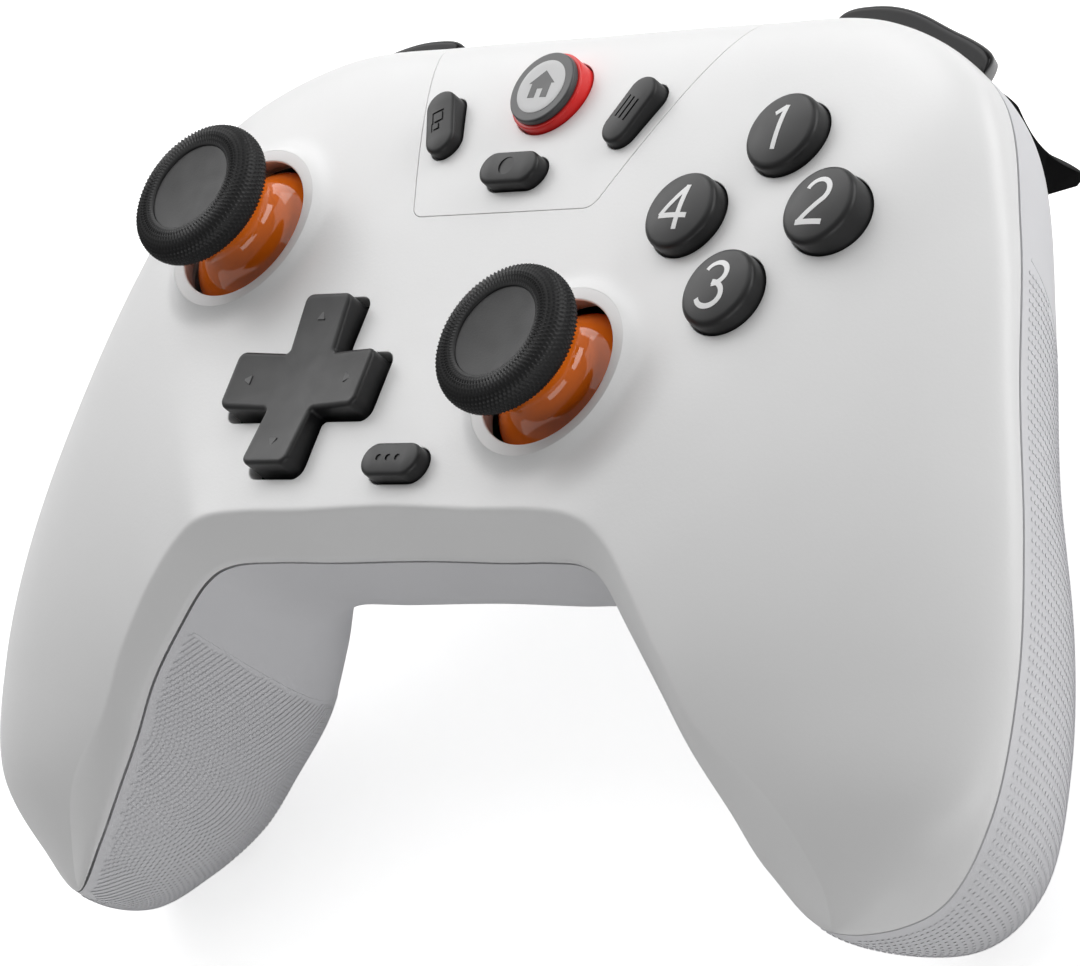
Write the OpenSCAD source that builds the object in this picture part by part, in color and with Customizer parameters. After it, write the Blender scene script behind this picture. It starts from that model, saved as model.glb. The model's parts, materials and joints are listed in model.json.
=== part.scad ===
// Wireless gamepad with two thumbsticks, four face buttons, a cross pad, bumpers and triggers.
// It lies on its back with its face up: +X is the player's right, +Y points to the bumpers.
// Shapes are drawn with the middle of the face at zero and then seated on the ground.

/* [Body] */
// Width across the two grips
body_w = 159; // [152:1:168]
// Wall thickness of both shells
wall = 2.2; // [1.8:0.1:2.6]
// Gap along the seam between the shells
seam_gap = 0.4; // [0.2:0.1:0.6]
// Height of the small upright lip above the seam inside the arch
lip_h = 1; // [0.5:0.1:1.6]
// Drop of the face 40 mm to either side of its middle
face_drop_x = 0.35; // [0:0.05:0.8]
// Drop of the face 30 mm above its flat middle
face_drop_y = 1.9; // [1:0.1:2.6]
// Clearance round buttons and other moving pieces
gap = 0.4; // [0.3:0.05:0.6]
// Radial clearance of a pin in its bore
pin_gap = 0.05; // [0.02:0.01:0.09]

/* [Centre panel] */
// Thickness of the flush panel
panel_t = 1.6; // [1.2:0.1:2]
// Half width of the panel at its lower edge
panel_low_w = 14.9; // [14.5:0.1:15.3]
// Half width of the panel at the top edge
panel_top_w = 26.2; // [25.6:0.1:26.6]
// Height of the panel's lower edge on the face
panel_y = 17.5; // [16.5:0.25:18]
// Corner radius of the panel
panel_r = 2; // [1:0.5:3]
// Width of the groove round the panel
panel_gap = 0.2; // [0.15:0.05:0.5]

/* [Thumbsticks] */
// Left stick, across
left_stick_x = -41.8; // [-44:0.2:-40]
// Left stick, up
left_stick_y = 14.7; // [13:0.2:16]
// Right stick, across
right_stick_x = 18.6; // [17:0.2:20]
// Right stick, up
right_stick_y = -6.4; // [-8:0.2:-5]
// Radius of the opening in the stick ring
stick_hole_r = 9.15; // [8.8:0.05:9.6]
// Width of the stick ring
ring_w = 1.5; // [1:0.1:2]
// Height of the stick ring and its collar above the face
ring_up = 0.6; // [0.3:0.1:0.9]
// Radius of the thumb cap
cap_r = 9.2; // [8.6:0.1:9.6]
// Height of the cap's underside above the face
cap_low = 5.6; // [5:0.1:6.5]
// Thickness of the cap at its rim
cap_t = 5; // [4:0.1:6]
// Depth of the dish in the cap
cap_dish = 1; // [0.5:0.1:1.5]
// Depth of the stick's pivot below the face
pivot_down = 10; // [9.5:0.1:10.5]
// Radius of the stick's shaft
shaft_r = 1.8; // [1.5:0.1:2]
// Radius of the neck below the cap
neck_r = 4.6; // [4:0.1:5]
// Thickness of the coloured dome
dome_t = 1.2; // [0.9:0.1:1.4]
// Side of the square stick module
module_w = 15; // [14.6:0.1:15.4]
// Travel of the stick's click
click_travel = 0.4; // [0.2:0.1:0.5]

/* [Cross pad] */
// Cross pad, across
dpad_x = -19.8; // [-20.3:0.1:-19.3]
// Cross pad, up
dpad_y = -7.1; // [-7.6:0.1:-6.6]
// Half length of an arm at the face
dpad_arm = 11.2; // [10.8:0.1:11.4]
// Width of an arm at the face
dpad_arm_w = 7.5; // [7:0.1:8]
// Height of the cross above the face
dpad_up = 2.6; // [2:0.1:3.2]
// Depth of its pivot below the face
dpad_pivot_down = 9; // [8.6:0.1:9.4]

/* [Face buttons] */
// Middle of the four buttons, across
face_x = 40.3; // [39.8:0.1:40.8]
// Middle of the four buttons, up
face_y = 13.4; // [12.9:0.1:13.9]
// Distance of each button from that middle
face_pitch = 10.1; // [9.8:0.1:10.6]
// Radius of a button
face_r = 4.9; // [4.4:0.1:5.2]
// Height of a button's edge above the face
face_up = 2.2; // [1.8:0.1:2.8]
// Extra height of its domed top
face_crown = 0.5; // [0.2:0.1:0.8]
// Travel of a face button
face_travel = 1.2; // [0.8:0.1:1.4]

/* [Small buttons] */
// Home button, up
home_y = 31.4; // [30.5:0.2:32.5]
// Radius of the home button
home_r = 4.7; // [4.2:0.1:5]
// Width of the coloured ring below it
home_ring_w = 0.4; // [0.2:0.1:0.8]
// View and menu buttons, distance from the middle
side_x = 15.1; // [14:0.2:16]
// View and menu buttons, up
side_y = 27.8; // [27:0.2:28.6]
// Outward lean of the view and menu buttons
side_lean = 24; // [15:1:30]
// Share button, up
share_y = 20.6; // [20.2:0.1:21.2]
// Mode button, up
mode_y = -17.5; // [-18:0.25:-17]
// Length of the small buttons
pill_l = 9; // [8:0.2:10]
// Width of the small buttons
pill_w = 4.2; // [3.6:0.1:4.6]
// Height of the small buttons above the face
pill_up = 1.9; // [1.4:0.1:2.6]
// Travel of the small buttons
pill_travel = 0.5; // [0.3:0.1:0.6]

/* [Bumpers and triggers] */
// How far the bumpers stand out from the shell
bumper_out = 4; // [3:0.2:4.6]
// How far the bumpers reach into the shell
bumper_in = 3.2; // [2.6:0.1:3.4]
// Height of the bumpers
bumper_h = 5.2; // [4.6:0.1:6]
// Radius of the bumper's pin
bumper_pin_r = 1.3; // [1:0.1:1.5]
// Swing of a bumper in degrees
bumper_swing = 2.5; // [1:0.5:3]
// Lowest point of the trigger's tip below the face
trigger_low = 33.6; // [32:0.2:35]
// Depth of the trigger's finger dish
trigger_dish = 1.5; // [0.8:0.1:2]
// Trigger shaft, up
trigger_shaft_y = 30; // [29.6:0.1:30.4]
// Trigger shaft, depth below the face
trigger_shaft_down = 13; // [12.8:0.1:13.2]
// Radius of the trigger shaft
trigger_shaft_r = 1.5; // [1.2:0.1:1.6]

/* [Inside] */
// Depth of the circuit board's top below the face
board_down = 16.5; // [16.3:0.1:17]
// Thickness of the circuit board
board_t = 1.6; // [1:0.1:1.8]
// Length of the battery
battery_l = 44; // [36:1:48]
// Width of the battery
battery_w = 28; // [20:1:30]
// Thickness of the battery
battery_t = 5.6; // [4:0.1:6]
// Radius of the rumble motors
motor_r = 5.5; // [4.5:0.1:6]
// Length of the rumble motors
motor_l = 13; // [11:0.5:14]
// Radius of the spinning weights
weight_r = 7.5; // [6:0.1:8]
// Thread radius of the shell screws
screw_r = 1.2; // [1:0.1:1.4]
// Thread radius of the board screws
board_screw_r = 0.9; // [0.7:0.1:1]

/* [Hidden] */
$fn = 64;
shell_fn = 36;
tiny = 0.01;
far = 60;

// Stations of the right half, from the middle of the pad to the tip of the grip.
// Each station is a section between the outer seam and the seam inside the arch.
outer_seam = [
    [0, 43, -10], [23, 43, -10], [43.5, 42, -10], [60, 33, -10], [68.5, 16.5, -11],
    [74, -2, -13.5], [78, -18, -17.5], [79.5, -32, -22], [77.5, -45.5, -27], [69.5, -54, -32]
];
inner_seam = [
    [0, -25, -8.5], [13, -25.5, -8], [22, -26, -7], [28, -27, -6], [32, -29, -6.5],
    [36, -33.5, -8.5], [40.5, -39, -11.5], [44.5, -44.5, -15.5], [49, -49.5, -19.5], [53.5, -54.5, -23.5]
];
grip_tip = [60, -58.5, -28.5];
// Height of the face at its outer edge, and of the crease above the arch
edge_z = [0, 0, -0.5, -0.5, -1.8, -4.5, -8.4, -13, -18.5, -25.5];
crease_z = [0, 0, 0.2, 0, -1.4, -3.7, -7.2, -11.8, -17.5, -24.2];
// Place of the crease along the section, and roundness of the face towards each seam
crease_at = [0.965, 0.965, 0.96, 0.95, 0.94, 0.93, 0.93, 0.91, 0.78, 0.63, 0.5];
edge_round = [3.8, 3.8, 3.8, 3.4, 2.5, 2.1, 2, 2, 2, 2, 2];
arch_round = [1, 1, 1, 1, 1.05, 1.1, 1.2, 1.4, 1.7, 1.9, 2];
// Depth of the back below the seam, the place of its deepest line, and its roundness
back_depth = [19.7, 19.8, 20.2, 23.4, 28, 31, 31, 28.5, 23, 13.7, 0];
back_at = [0.5, 0.5, 0.5, 0.52, 0.56, 0.58, 0.57, 0.57, 0.53, 0.5, 0.5];
back_round_out = [4, 4, 3.3, 2.2, 1.8, 1.7, 1.8, 1.9, 2.1, 2.2, 2];
back_round_in = [4, 4, 4, 4.3, 4.5, 4.2, 3.7, 3.3, 2.9, 2.4, 2];

// Body curves
stretch = body_w / (2 * max([for (p = outer_seam) p[0]]));
last = len(outer_seam);
function wide(p) = [p[0] * stretch, p[1], p[2]];
outer_pts = [for (p = concat(outer_seam, [grip_tip])) wide(p)];
inner_pts = [for (p = concat(inner_seam, [grip_tip])) wide(p)];
edge_rise = [for (k = [0:last]) k == last ? 0 : edge_z[k] - outer_seam[k][2]];
crease_rise = [for (k = [0:last]) k == last ? 0 :
    crease_z[k] - outer_seam[k][2] * (1 - crease_at[k]) - inner_seam[k][2] * crease_at[k]];

function flip(p) = [-p[0], p[1], p[2]];
function curve4(a, b, c, d, t) =
    0.5 * (2 * b + (c - a) * t + (2 * a - 5 * b + 4 * c - d) * t * t + (3 * b - a - 3 * c + d) * t * t * t);
function along(list, before, after, u) =
    let (i = min(floor(u), last - 1), t = u - i)
    curve4(i == 0 ? before : list[i - 1], list[i], list[i + 1], i == last - 1 ? after : list[i + 2], t);
function outer(u) = along(outer_pts, flip(outer_pts[1]), inner_pts[last - 1], u);
function inner(u) = along(inner_pts, flip(inner_pts[1]), outer_pts[last - 1], u);
function share(list, u) = along(list, list[1], list[last], u);
function rise(list, u) = along(list, list[1], -list[last - 1], u);

// Quarter of a rounded section: how far across and how far up at one step
function across(n, a) = 1 - pow(cos(a), 2 / n);
function upward(n, a) = pow(sin(a), 2 / n);
quarter = 6;
angles = [for (k = [0:quarter]) 90 * k / quarter];
back_angles = [for (k = [quarter - 1:-1:0]) 90 * k / quarter];

// How much thicker the walls are at the seam
side_wall = 1.2;

// Front and back of the section at station u, from the outer seam to the inner seam.
// The inset moves the whole section inwards by a wall.
function chord(u, inset) =
    let (o = outer(u), i = inner(u), d = [i[0] - o[0], i[1] - o[1], 0] / norm([i[0] - o[0], i[1] - o[1]]))
    [o + d * inset * side_wall, i - d * inset * side_wall];
function on_chord(c, w, h) = c[0] * (1 - w) + c[1] * w + [0, 0, h];
function front_row(u, inset) =
    let (c = chord(u, inset), w = share(crease_at, u), n = share(edge_round, u), m = share(arch_round, u),
         e = max(rise(edge_rise, u) - inset, tiny), r = max(rise(crease_rise, u) - inset, tiny),
         lip = min(lip_h, r / 6))
    concat(
        [for (a = angles) on_chord(c, w * across(n, a),
            (e + (r - e) * across(n, a)) * upward(n, a))],
        [for (a = back_angles) on_chord(c, 1 - (1 - w) * across(m, a), lip + (r - lip) * upward(m, a))]
    );
function back_row(u, inset) =
    let (c = chord(u, inset), w = share(back_at, u), h = max(rise(back_depth, u) - inset, tiny),
         n = share(back_round_out, u), m = share(back_round_in, u))
    concat(
        [for (a = angles) on_chord(c, w * across(n, a), -h * upward(n, a))],
        [for (a = back_angles) on_chord(c, 1 - (1 - w) * across(m, a), -h * upward(m, a))]
    );

// A solid through closed rows of points that run from the left tip to the right tip
half_rows = [
    0.7, 1.3, 1.8, 2.2, 2.6, 3, 3.35, 3.7, 4.1, 4.6, 5.1, 5.6, 6.1, 6.6, 7.1, 7.6, 8.1, 8.6, 9, 9.35, 9.6,
    9.8, 9.92
];
shell_end = 9.98;
void_end = 8.7;
// The void's rows lie between the rows of the shell
void_shift = 0.25;
function turned(list) = [for (k = [len(list) - 1:-1:0]) list[k]];
function stations() = let (h = concat(half_rows, [shell_end])) concat(-turned(h), [0], h);
function void_stations() =
    let (h = concat([for (u = half_rows) if (u < void_end) u - void_shift], [void_end]))
    concat(-turned(h), h);
function sided(row, u) = u < 0 ? [for (p = row) flip(p)] : row;
// The slant picks the diagonal of each four-sided face
module loft(rows, slant = 0) {
    n = len(rows[0]);
    m = len(rows);
    points = [for (r = rows) for (p = r) p];
    sides = [for (j = [0:m - 2]) for (k = [0:n - 1])
        let (a = j * n + k, b = j * n + (k + 1) % n)
        for (f = slant == 0 ? [[a, b + n, b], [a, a + n, b + n]] : [[a, a + n, b], [b, a + n, b + n]]) f];
    far_row = (m - 1) * n;
    ends = [for (k = [1:n - 2]) for (f = [[0, k, k + 1], [far_row, far_row + k + 1, far_row + k]]) f];
    polyhedron(points, concat(sides, ends));
}
function lifted(row, dz) = [for (p = row) p + [0, 0, dz]];
module front_solid() {
    loft([for (u = stations()) sided(let (v = abs(u), f = front_row(v, 0))
        concat([f[0] + [0, 0, seam_gap / 2]], [for (k = [1:len(f) - 1]) f[k]],
               [inner(v) + [0, 0, seam_gap / 2]]), u)]);
}
module back_solid() {
    loft([for (u = stations()) sided(turned(lifted(back_row(abs(u), 0), -seam_gap / 2)), u)], 1);
}
module inside() {
    loft([for (u = void_stations()) sided(let (v = abs(u), b = back_row(v, wall))
        concat(front_row(v, wall), turned([for (k = [1:len(b) - 2]) b[k]])), u)]);
}

// Where things sit
function face_z(x, y) = -face_drop_x * pow(x / 40, 2) - face_drop_y * pow(max(y - 5, 0) / 30, 2);
board_z = -board_down;
flange_t = 1.2;
flange_play = 0.5;
flange_drop = wall + flange_play;
backing_t = 1.5;
panel_drop = panel_t + panel_gap + backing_t + flange_play + 0.3;
flange_out = 0.8;
flange_room = 0.2;
body_rows = [for (u = stations()) back_row(abs(u), 0)];
rest_z = seam_gap / 2 - min([for (r = body_rows) for (p = r) p[2]]);
low_y = min([for (r = body_rows) for (p = r) p[1]]);

// Outline of the top edge, followed by the bumpers and triggers
function edge_dir(u) = let (d = outer(u + 0.02) - outer(u - 0.02)) [d[0], d[1]] / norm([d[0], d[1]]);
function edge(u, out) = let (o = outer(u), d = edge_dir(u)) [o[0] - d[1] * out, o[1] + d[0] * out];
bumper_u = [1.32, 2.78];
trigger_u = [1.66, 2.52];
edge_steps = 14;
function between(range, f) = range[0] + (range[1] - range[0]) * f;
fractions = [for (k = [0:edge_steps]) k / edge_steps];
function bumper_bulge(a) = bumper_out * sqrt(1 - pow(a, 3.5)) - bumper_in * pow(a, 8);
bumper_front = [for (f = fractions) edge(between(bumper_u, f), bumper_bulge(abs(2 * f - 1)))];
bumper_back = [for (f = turned(fractions)) edge(between(bumper_u, f), -bumper_in)];
high_y = max([for (p = bumper_front) p[1]]);
middle_y = (low_y + high_y) / 2;
bumper_top = outer_seam[2][2] + seam_gap / 2 - gap;
bumper_low = bumper_top - bumper_h;
bumper_pin = edge(between(bumper_u, 0.12), -2.2);
bumper_reach = norm(edge(bumper_u[1], 0) - bumper_pin);
bumper_room = 2 * gap + bumper_reach * sin(bumper_swing);
trigger_top = bumper_low - 1;
trigger_depth = 12.8;
trigger_axis = [trigger_shaft_y, -trigger_shaft_down];

module seat() { translate([0, -middle_y, rest_z]) children(); }
module both_sides() {
    children();
    mirror([1, 0, 0]) children();
}
module on_left() { mirror([1, 0, 0]) children(); }

// Rounded bar lying across, as long as its ends are apart
module pill(l, w, z0, z1) {
    hull() for (s = [-1, 1]) translate([s * (l - w) / 2, 0, z0]) cylinder(d = w, h = z1 - z0, $fn = 32);
}
module pill_slot(p, angle, grow) {
    translate([p[0], p[1], 0]) rotate(angle) pill(pill_l + 2 * grow, pill_w + 2 * grow, -far, far);
}
function side_angle(s) = 90 - s * side_lean;
// Place and turn of the small buttons, and how far below the face their flanges sit
pill_spots = [
    [[-side_x, side_y], side_angle(-1), panel_drop], [[side_x, side_y], side_angle(1), panel_drop],
    [[0, share_y], 0, panel_drop], [[0, mode_y], 0, flange_drop]
];
face_spots = [[0, 1], [1, 0], [0, -1], [-1, 0]];
function face_spot(k) = [face_x * stretch, face_y] + face_pitch * face_spots[k];
stick_spots = [[left_stick_x * stretch, left_stick_y], [right_stick_x * stretch, right_stick_y]];
dpad_spot = [dpad_x * stretch, dpad_y];
switch_spots = concat([[0, home_y]], [for (p = pill_spots) p[0]]);
switch_h = 5;
pad_t = 1;

// Shell screws: two in the grips and two beside the panel, with the height where the posts meet
grip_screw = [57, -43];
top_screw = [26.5, 34.5];
screw_spots = [
    [[grip_screw[0] * stretch, grip_screw[1]], -25],
    [[top_screw[0] * stretch, top_screw[1]], -12.5]
];
screw_grip = 9;
screw_head_r = 2 * screw_r;
screw_head_t = 1.4;
post_r = screw_r + 2.2;
board_screw_spots = [for (p = [[-27.5, 24], [24.5, 24], [-37, -10], [37, -10]]) [p[0] * stretch, p[1]]];
board_post_r = board_screw_r + 1.6;
screw_bite = 5;
thread_play = 0.05;
board_head_t = 1.2;
head_spots = [for (s = screw_spots) [s[0][0], s[0][1], s[1] - screw_grip]];

// Board outline
board_x = 56;
board_low_y = -20.5;
board_wing_y = [-12, 26.3];
board_top_y = 30.8;
board_neck_x = 33;
usb_w = 9;
usb_h = 3.2;
usb_l = 7.4;
usb_y = outer_seam[0][1] - 0.7;

// Rumble motors lie in the grips along Y
motor_x = 59;
motor_at = [motor_x * stretch, -31.5, -28];
weight_l = 6;

panel_high_y = outer_seam[0][1] + 1.3;
module panel_outline(grow) {
    hull() {
        for (s = [-1, 1]) {
            translate([s * (panel_low_w - panel_r), panel_y]) circle(panel_r + grow, $fn = 32);
            translate([s * (panel_top_w - panel_r), panel_high_y]) circle(panel_r + grow, $fn = 32);
        }
    }
}
module panel_prism(grow) { translate([0, 0, -far / 3]) linear_extrude(far) panel_outline(grow); }
module sunk(depth) { translate([0, -depth * 0.8, -depth]) front_solid(); }

// Shells
module front_shell() color("whitesmoke") {
    difference() {
        union() {
            difference() {
                union() {
                    difference() {
                        front_solid();
                        inside();
                    }
                    intersection() {
                        union() {
                            front_solid();
                            inside();
                        }
                        front_posts();
                    }
                }
                difference() {
                    panel_prism(panel_gap);
                    sunk(panel_t + panel_gap);
                }
            }
            intersection() {
                panel_prism(panel_gap + backing_t);
                front_solid();
                difference() {
                    sunk(panel_t + panel_gap);
                    sunk(panel_t + panel_gap + backing_t);
                }
            }
            for (p = stick_spots) stick_collar(p);
        }
        for (k = [0:3]) face_hole(face_spot(k));
        for (p = stick_spots) stick_opening(p);
        translate(dpad_spot) cross_bars(dpad_arm + gap + 0.3, dpad_arm_w + 2 * gap + 0.4, -8, far);
        for (p = pill_spots) {
            pill_slot(p[0], p[1], gap);
            pill_room(p);
        }
        home_hole();
        translate([0, home_y, home_z - panel_drop + flange_room - far / 4])
            cylinder(r = home_r + home_ring_w + flange_out + gap, h = far / 4);
        panel_pegs(0.15);
        front_pilots();
    }
}
// Holes for the buttons, with room below them for their flanges
module face_hole(p) {
    translate([p[0], p[1], -flange_drop - 2]) cylinder(r = face_r + gap, h = far);
    translate([p[0], p[1], face_z(p[0], p[1]) - flange_drop + flange_room - far / 4])
        cylinder(r = face_flange_r + gap, h = far / 4);
}
module pill_room(spot) {
    p = spot[0];
    grow = 2 * (flange_out + gap);
    translate([p[0], p[1], 0]) rotate(spot[1])
        pill(pill_l + grow, pill_w + grow, -far / 4, face_z(p[0], p[1]) - spot[2] + flange_room);
}
module home_hole() {
    translate([0, home_y, -far / 2]) cylinder(r = home_r + home_ring_w + gap, h = far);
}
module front_posts() {
    both_sides() for (s = screw_spots) translate([s[0][0], s[0][1], s[1]]) cylinder(r = post_r, h = far);
    for (p = board_screw_spots) translate([p[0], p[1], board_z]) cylinder(r = board_post_r, h = far);
    both_sides() {
        translate([bumper_pin[0], bumper_pin[1], bumper_top + gap]) cylinder(r = bumper_pin_r + 1.4, h = far);
        for (x = bracket_ears) translate([x, bracket_ear_y, bracket_top]) cylinder(r = 1.6, h = far);
    }
}
module front_pilots() {
    both_sides() {
        for (s = screw_spots)
            translate([s[0][0], s[0][1], s[1] - 1]) cylinder(r = screw_r + thread_play, h = screw_bite + 1.6);
        translate([bumper_pin[0], bumper_pin[1], -far])
            cylinder(r = bumper_pin_r + thread_play, h = far + pin_top + 0.1);
    }
    for (p = board_screw_spots)
        translate([p[0], p[1], board_z - 1]) cylinder(r = board_screw_r + thread_play, h = screw_bite + 1.6);
}
module stick_collar(p) {
    z = face_z(p[0], p[1]);
    collar_r = stick_hole_r + ring_w + 1.4;
    translate([p[0], p[1], z - 3]) cylinder(r = collar_r, h = 3 + ring_up);
    translate([p[0], p[1], z - 2]) cylinder(r1 = collar_r + 3.6, r2 = collar_r, h = 2 + ring_up);
}
module stick_opening(p) {
    z = face_z(p[0], p[1]);
    translate([p[0], p[1], z - 5]) cylinder(r = stick_hole_r + ring_w + 0.1, h = far);
    translate([p[0], p[1], -pivot_down]) sphere(dome_r + gap + 0.3);
}
module cross_bars(arm, w, z0, z1) {
    for (a = [0, 90]) rotate(a) hull() for (s = [-1, 1], t = [-1, 1])
        translate([s * (arm - 1.5), t * (w / 2 - 1.5), z0]) cylinder(r = 1.5, h = z1 - z0, $fn = 32);
}

module back_shell() color("gainsboro") {
    difference() {
        union() {
            difference() {
                back_solid();
                inside();
            }
            intersection() {
                back_solid();
                back_ribs();
            }
            intersection() {
                union() {
                    back_solid();
                    inside();
                }
                both_sides() for (s = screw_spots)
                    translate([s[0][0], s[0][1], -far]) cylinder(r = post_r, h = far + s[1] - seam_gap / 2);
            }
        }
        both_sides() {
            bumper_window();
            trigger_window();
            for (h = head_spots) {
                translate([h[0], h[1], -far]) cylinder(r = screw_head_r + 0.2, h = far + h[2]);
                translate([h[0], h[1], -far]) cylinder(r = screw_r + 0.15, h = 2 * far);
            }
            translate(motor_at) along_y(motor_r + 0.2, motor_l + 1);
        }
        translate([0, usb_y, board_z + usb_h / 2]) rotate([90, 0, 0])
            pill(usb_w + 2 * gap, usb_h + 2 * gap, -far / 4, far / 4);
    }
}
// Ribs that carry the battery and the motors, trimmed to the back
module back_ribs() {
    for (y = [battery_y - 9, battery_y + 9]) hull() for (s = [-1, 1])
        translate([s * (battery_l / 2 - 2), y, -far])
            cylinder(r = rib_r, h = far + battery_z - gap / 2, $fn = 32);
    both_sides() for (y = [-4, 4]) hull() for (s = [-1, 1])
        translate([motor_at[0] + s * (motor_r + 1), motor_at[1] + y, -far])
            cylinder(r = rib_r, h = far + motor_at[2], $fn = 32);
    both_sides() for (y = [battery_y - 9, battery_y + 6]) hull() for (s = [0, 1])
        translate([battery_l / 2 + rib_r + gap / 2, y + s * 3, -far])
            cylinder(r = rib_r, h = far + battery_z + 2, $fn = 32);
}
rib_r = 1;
battery_z = board_z - board_t - 1.4 - battery_t;
battery_y = 5;
module bumper_window() {
    span = [bumper_u[0] - 0.04, bumper_u[1] + 0.04];
    translate([0, 0, bumper_low - gap]) linear_extrude(far) polygon(concat(
        [for (f = fractions) edge(between(span, f), bumper_out + 3)],
        [for (f = turned(fractions)) edge(between(span, f), -bumper_in - bumper_room)]
    ));
}
// Room behind each trigger for its swing
trigger_room = 3.2;
module trigger_window() {
    span = [trigger_u[0] - 0.05, trigger_u[1] + 0.05];
    translate([0, 0, -2 * far]) linear_extrude(2 * far + bumper_low) polygon(concat(
        [for (f = fractions) let (o = outer(between(span, f))) [o[0], o[1] + far / 4]],
        [for (f = turned(fractions)) let (o = outer(between(span, f))) [o[0], o[1] - trigger_depth - trigger_room]]
    ));
}
module centre_panel() color("white") {
    difference() {
        intersection() {
            front_solid();
            panel_prism(0);
        }
        sunk(panel_t);
        for (k = [0:2]) pill_slot(pill_spots[k][0], pill_spots[k][1], gap);
        home_hole();
    }
    intersection() {
        sunk(panel_t - 0.3);
        panel_pegs(0);
    }
}
// Pegs under the panel that sit in slots of the shell, each with the height of its lower end
peg_spots = [[8.5, 21.5, -3.7], [10, 37, -5.8]];
module panel_pegs(grow) {
    both_sides() for (p = peg_spots) translate([p[0], p[1], 0])
        pill(2.6 + 2 * grow, 1.2 + 2 * grow, p[2] - grow, far / 4);
}

// Thumbsticks, drawn round their pivot
function stick_face(k) = face_z(stick_spots[k][0], stick_spots[k][1]);
ring_t = 2.4;
dome_r = norm([stick_hole_r, pivot_down + min(stick_face(0), stick_face(1)) - 0.5]) - gap;
dome_edge = 50;
cap_z = pivot_down + cap_low;
fit = 0.03;
housing_wall = 0.9;
housing_top = 2;
housing_low = pivot_down - board_down;
frame_in = 3.6;
frame_out = 4.6;
frame_h = 3;
frame_pin_r = 1.2;
block_w = 5.6;
block_h = 4;
block_pin_r = 1;
rocker_in = 5.4;
rocker_out = 6.2;
rocker_w = 2 * shaft_r + 2.2;
slot_w = 2 * shaft_r + 0.6;
shaft_low = -4.2;
stop_r = shaft_r + 0.8;
pin_end = module_w / 2 - 0.1;
module at_stick(k) { translate([stick_spots[k][0], stick_spots[k][1], -pivot_down]) children(); }
module along_x(r, l) { rotate([0, 90, 0]) cylinder(r = r, h = l, center = true); }
module along_y(r, l) { rotate([90, 0, 0]) cylinder(r = r, h = l, center = true); }
module block_of(x, y, z) { cube([x, y, z], center = true); }

module stick_ring(k) color("lightgray") {
    p = stick_spots[k];
    translate([p[0], p[1], 0]) difference() {
        translate([0, 0, stick_face(k) - ring_t]) cylinder(r = stick_hole_r + ring_w, h = ring_t + ring_up);
        translate([0, 0, -far / 2]) cylinder(r = stick_hole_r, h = far);
        translate([0, 0, -pivot_down]) sphere(dome_r + gap);
    }
}
module stick_cap(k) color("black") at_stick(k) difference() {
    rim = cap_t / 2;
    dish_r = cap_r - rim;
    rotate_extrude() polygon(concat(
        [[0, cap_z]],
        [for (a = [-90:15:90]) [dish_r + rim * cos(a), cap_z + rim + rim * sin(a)]],
        [for (f = [0.8:-0.2:0]) [dish_r * f, cap_z + cap_t - cap_dish * (1 - f * f)]]
    ));
    translate([0, 0, cap_z - 1]) cylinder(r = shaft_r + fit, h = 1 + cap_t / 2 + 0.1);
}
module stick_dome(k) color("darkorange") at_stick(k) {
    neck_a = asin((neck_r + 0.4) / dome_r);
    hollow_r = dome_r - dome_t;
    boss_r = shaft_r + 1.4;
    boss_low = rocker_out + click_travel + 0.8;
    rotate_extrude() polygon(concat(
        [for (a = [dome_edge:-4:neck_a]) dome_r * [sin(a), cos(a)]],
        [[neck_r, dome_r * cos(neck_a) + 0.8], [neck_r - 0.3, cap_z], [shaft_r + fit, cap_z],
         [shaft_r + fit, boss_low], [boss_r, boss_low],
         [boss_r, sqrt(hollow_r * hollow_r - boss_r * boss_r)]],
        [for (a = [20:5:dome_edge]) hollow_r * [sin(a), cos(a)]]
    ));
}
module stick_shaft(k) color("silver") at_stick(k) {
    end_a = asin(shaft_r / -shaft_low);
    rotate_extrude() polygon(concat(
        [for (s = [0:0.25:1]) -shaft_low * [sin(s * end_a), -cos(s * end_a)]],
        [[shaft_r, cap_z + cap_t / 2], [0, cap_z + cap_t / 2]]
    ));
    translate([0, 0, -block_h / 2 - click_travel - 0.7]) cylinder(r = stop_r, h = 0.6);
}
module stick_block(k) color("white") at_stick(k) difference() {
    union() {
        block_of(block_w, block_w, block_h);
        along_y(block_pin_r, 2 * frame_out - 0.2);
    }
    cylinder(r = shaft_r + pin_gap, h = far, center = true);
}
module stick_gimbal(k) color("dimgray") at_stick(k) difference() {
    union() {
        block_of(2 * frame_out, 2 * frame_out, frame_h);
        along_x(frame_pin_r, 2 * pin_end);
    }
    block_of(2 * frame_in, 2 * frame_in, far);
    along_y(block_pin_r + pin_gap, far);
}
module stick_rocker(k) color("gray") at_stick(k) {
    difference() {
        along_x(rocker_out, rocker_w);
        along_x(rocker_in, far);
        translate([0, 0, -far / 2 - 1]) block_of(far, far, far);
        translate([0, 0, far / 2]) block_of(slot_w, 2 * shaft_r + 5.2, far);
    }
    for (s = [-1, 1]) translate([0, s * (rocker_out + pin_end - 0.2) / 2, 0])
        along_y(frame_pin_r, pin_end - rocker_out + 0.2);
}
module stick_housing(k) color("darkgreen") at_stick(k) difference() {
    translate([0, 0, (housing_top + housing_low) / 2])
        block_of(module_w, module_w, housing_top - housing_low);
    block_of(module_w - 2 * housing_wall, module_w - 2 * housing_wall, far);
    along_x(frame_pin_r + pin_gap, far);
    along_y(frame_pin_r + pin_gap, far);
}
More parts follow.
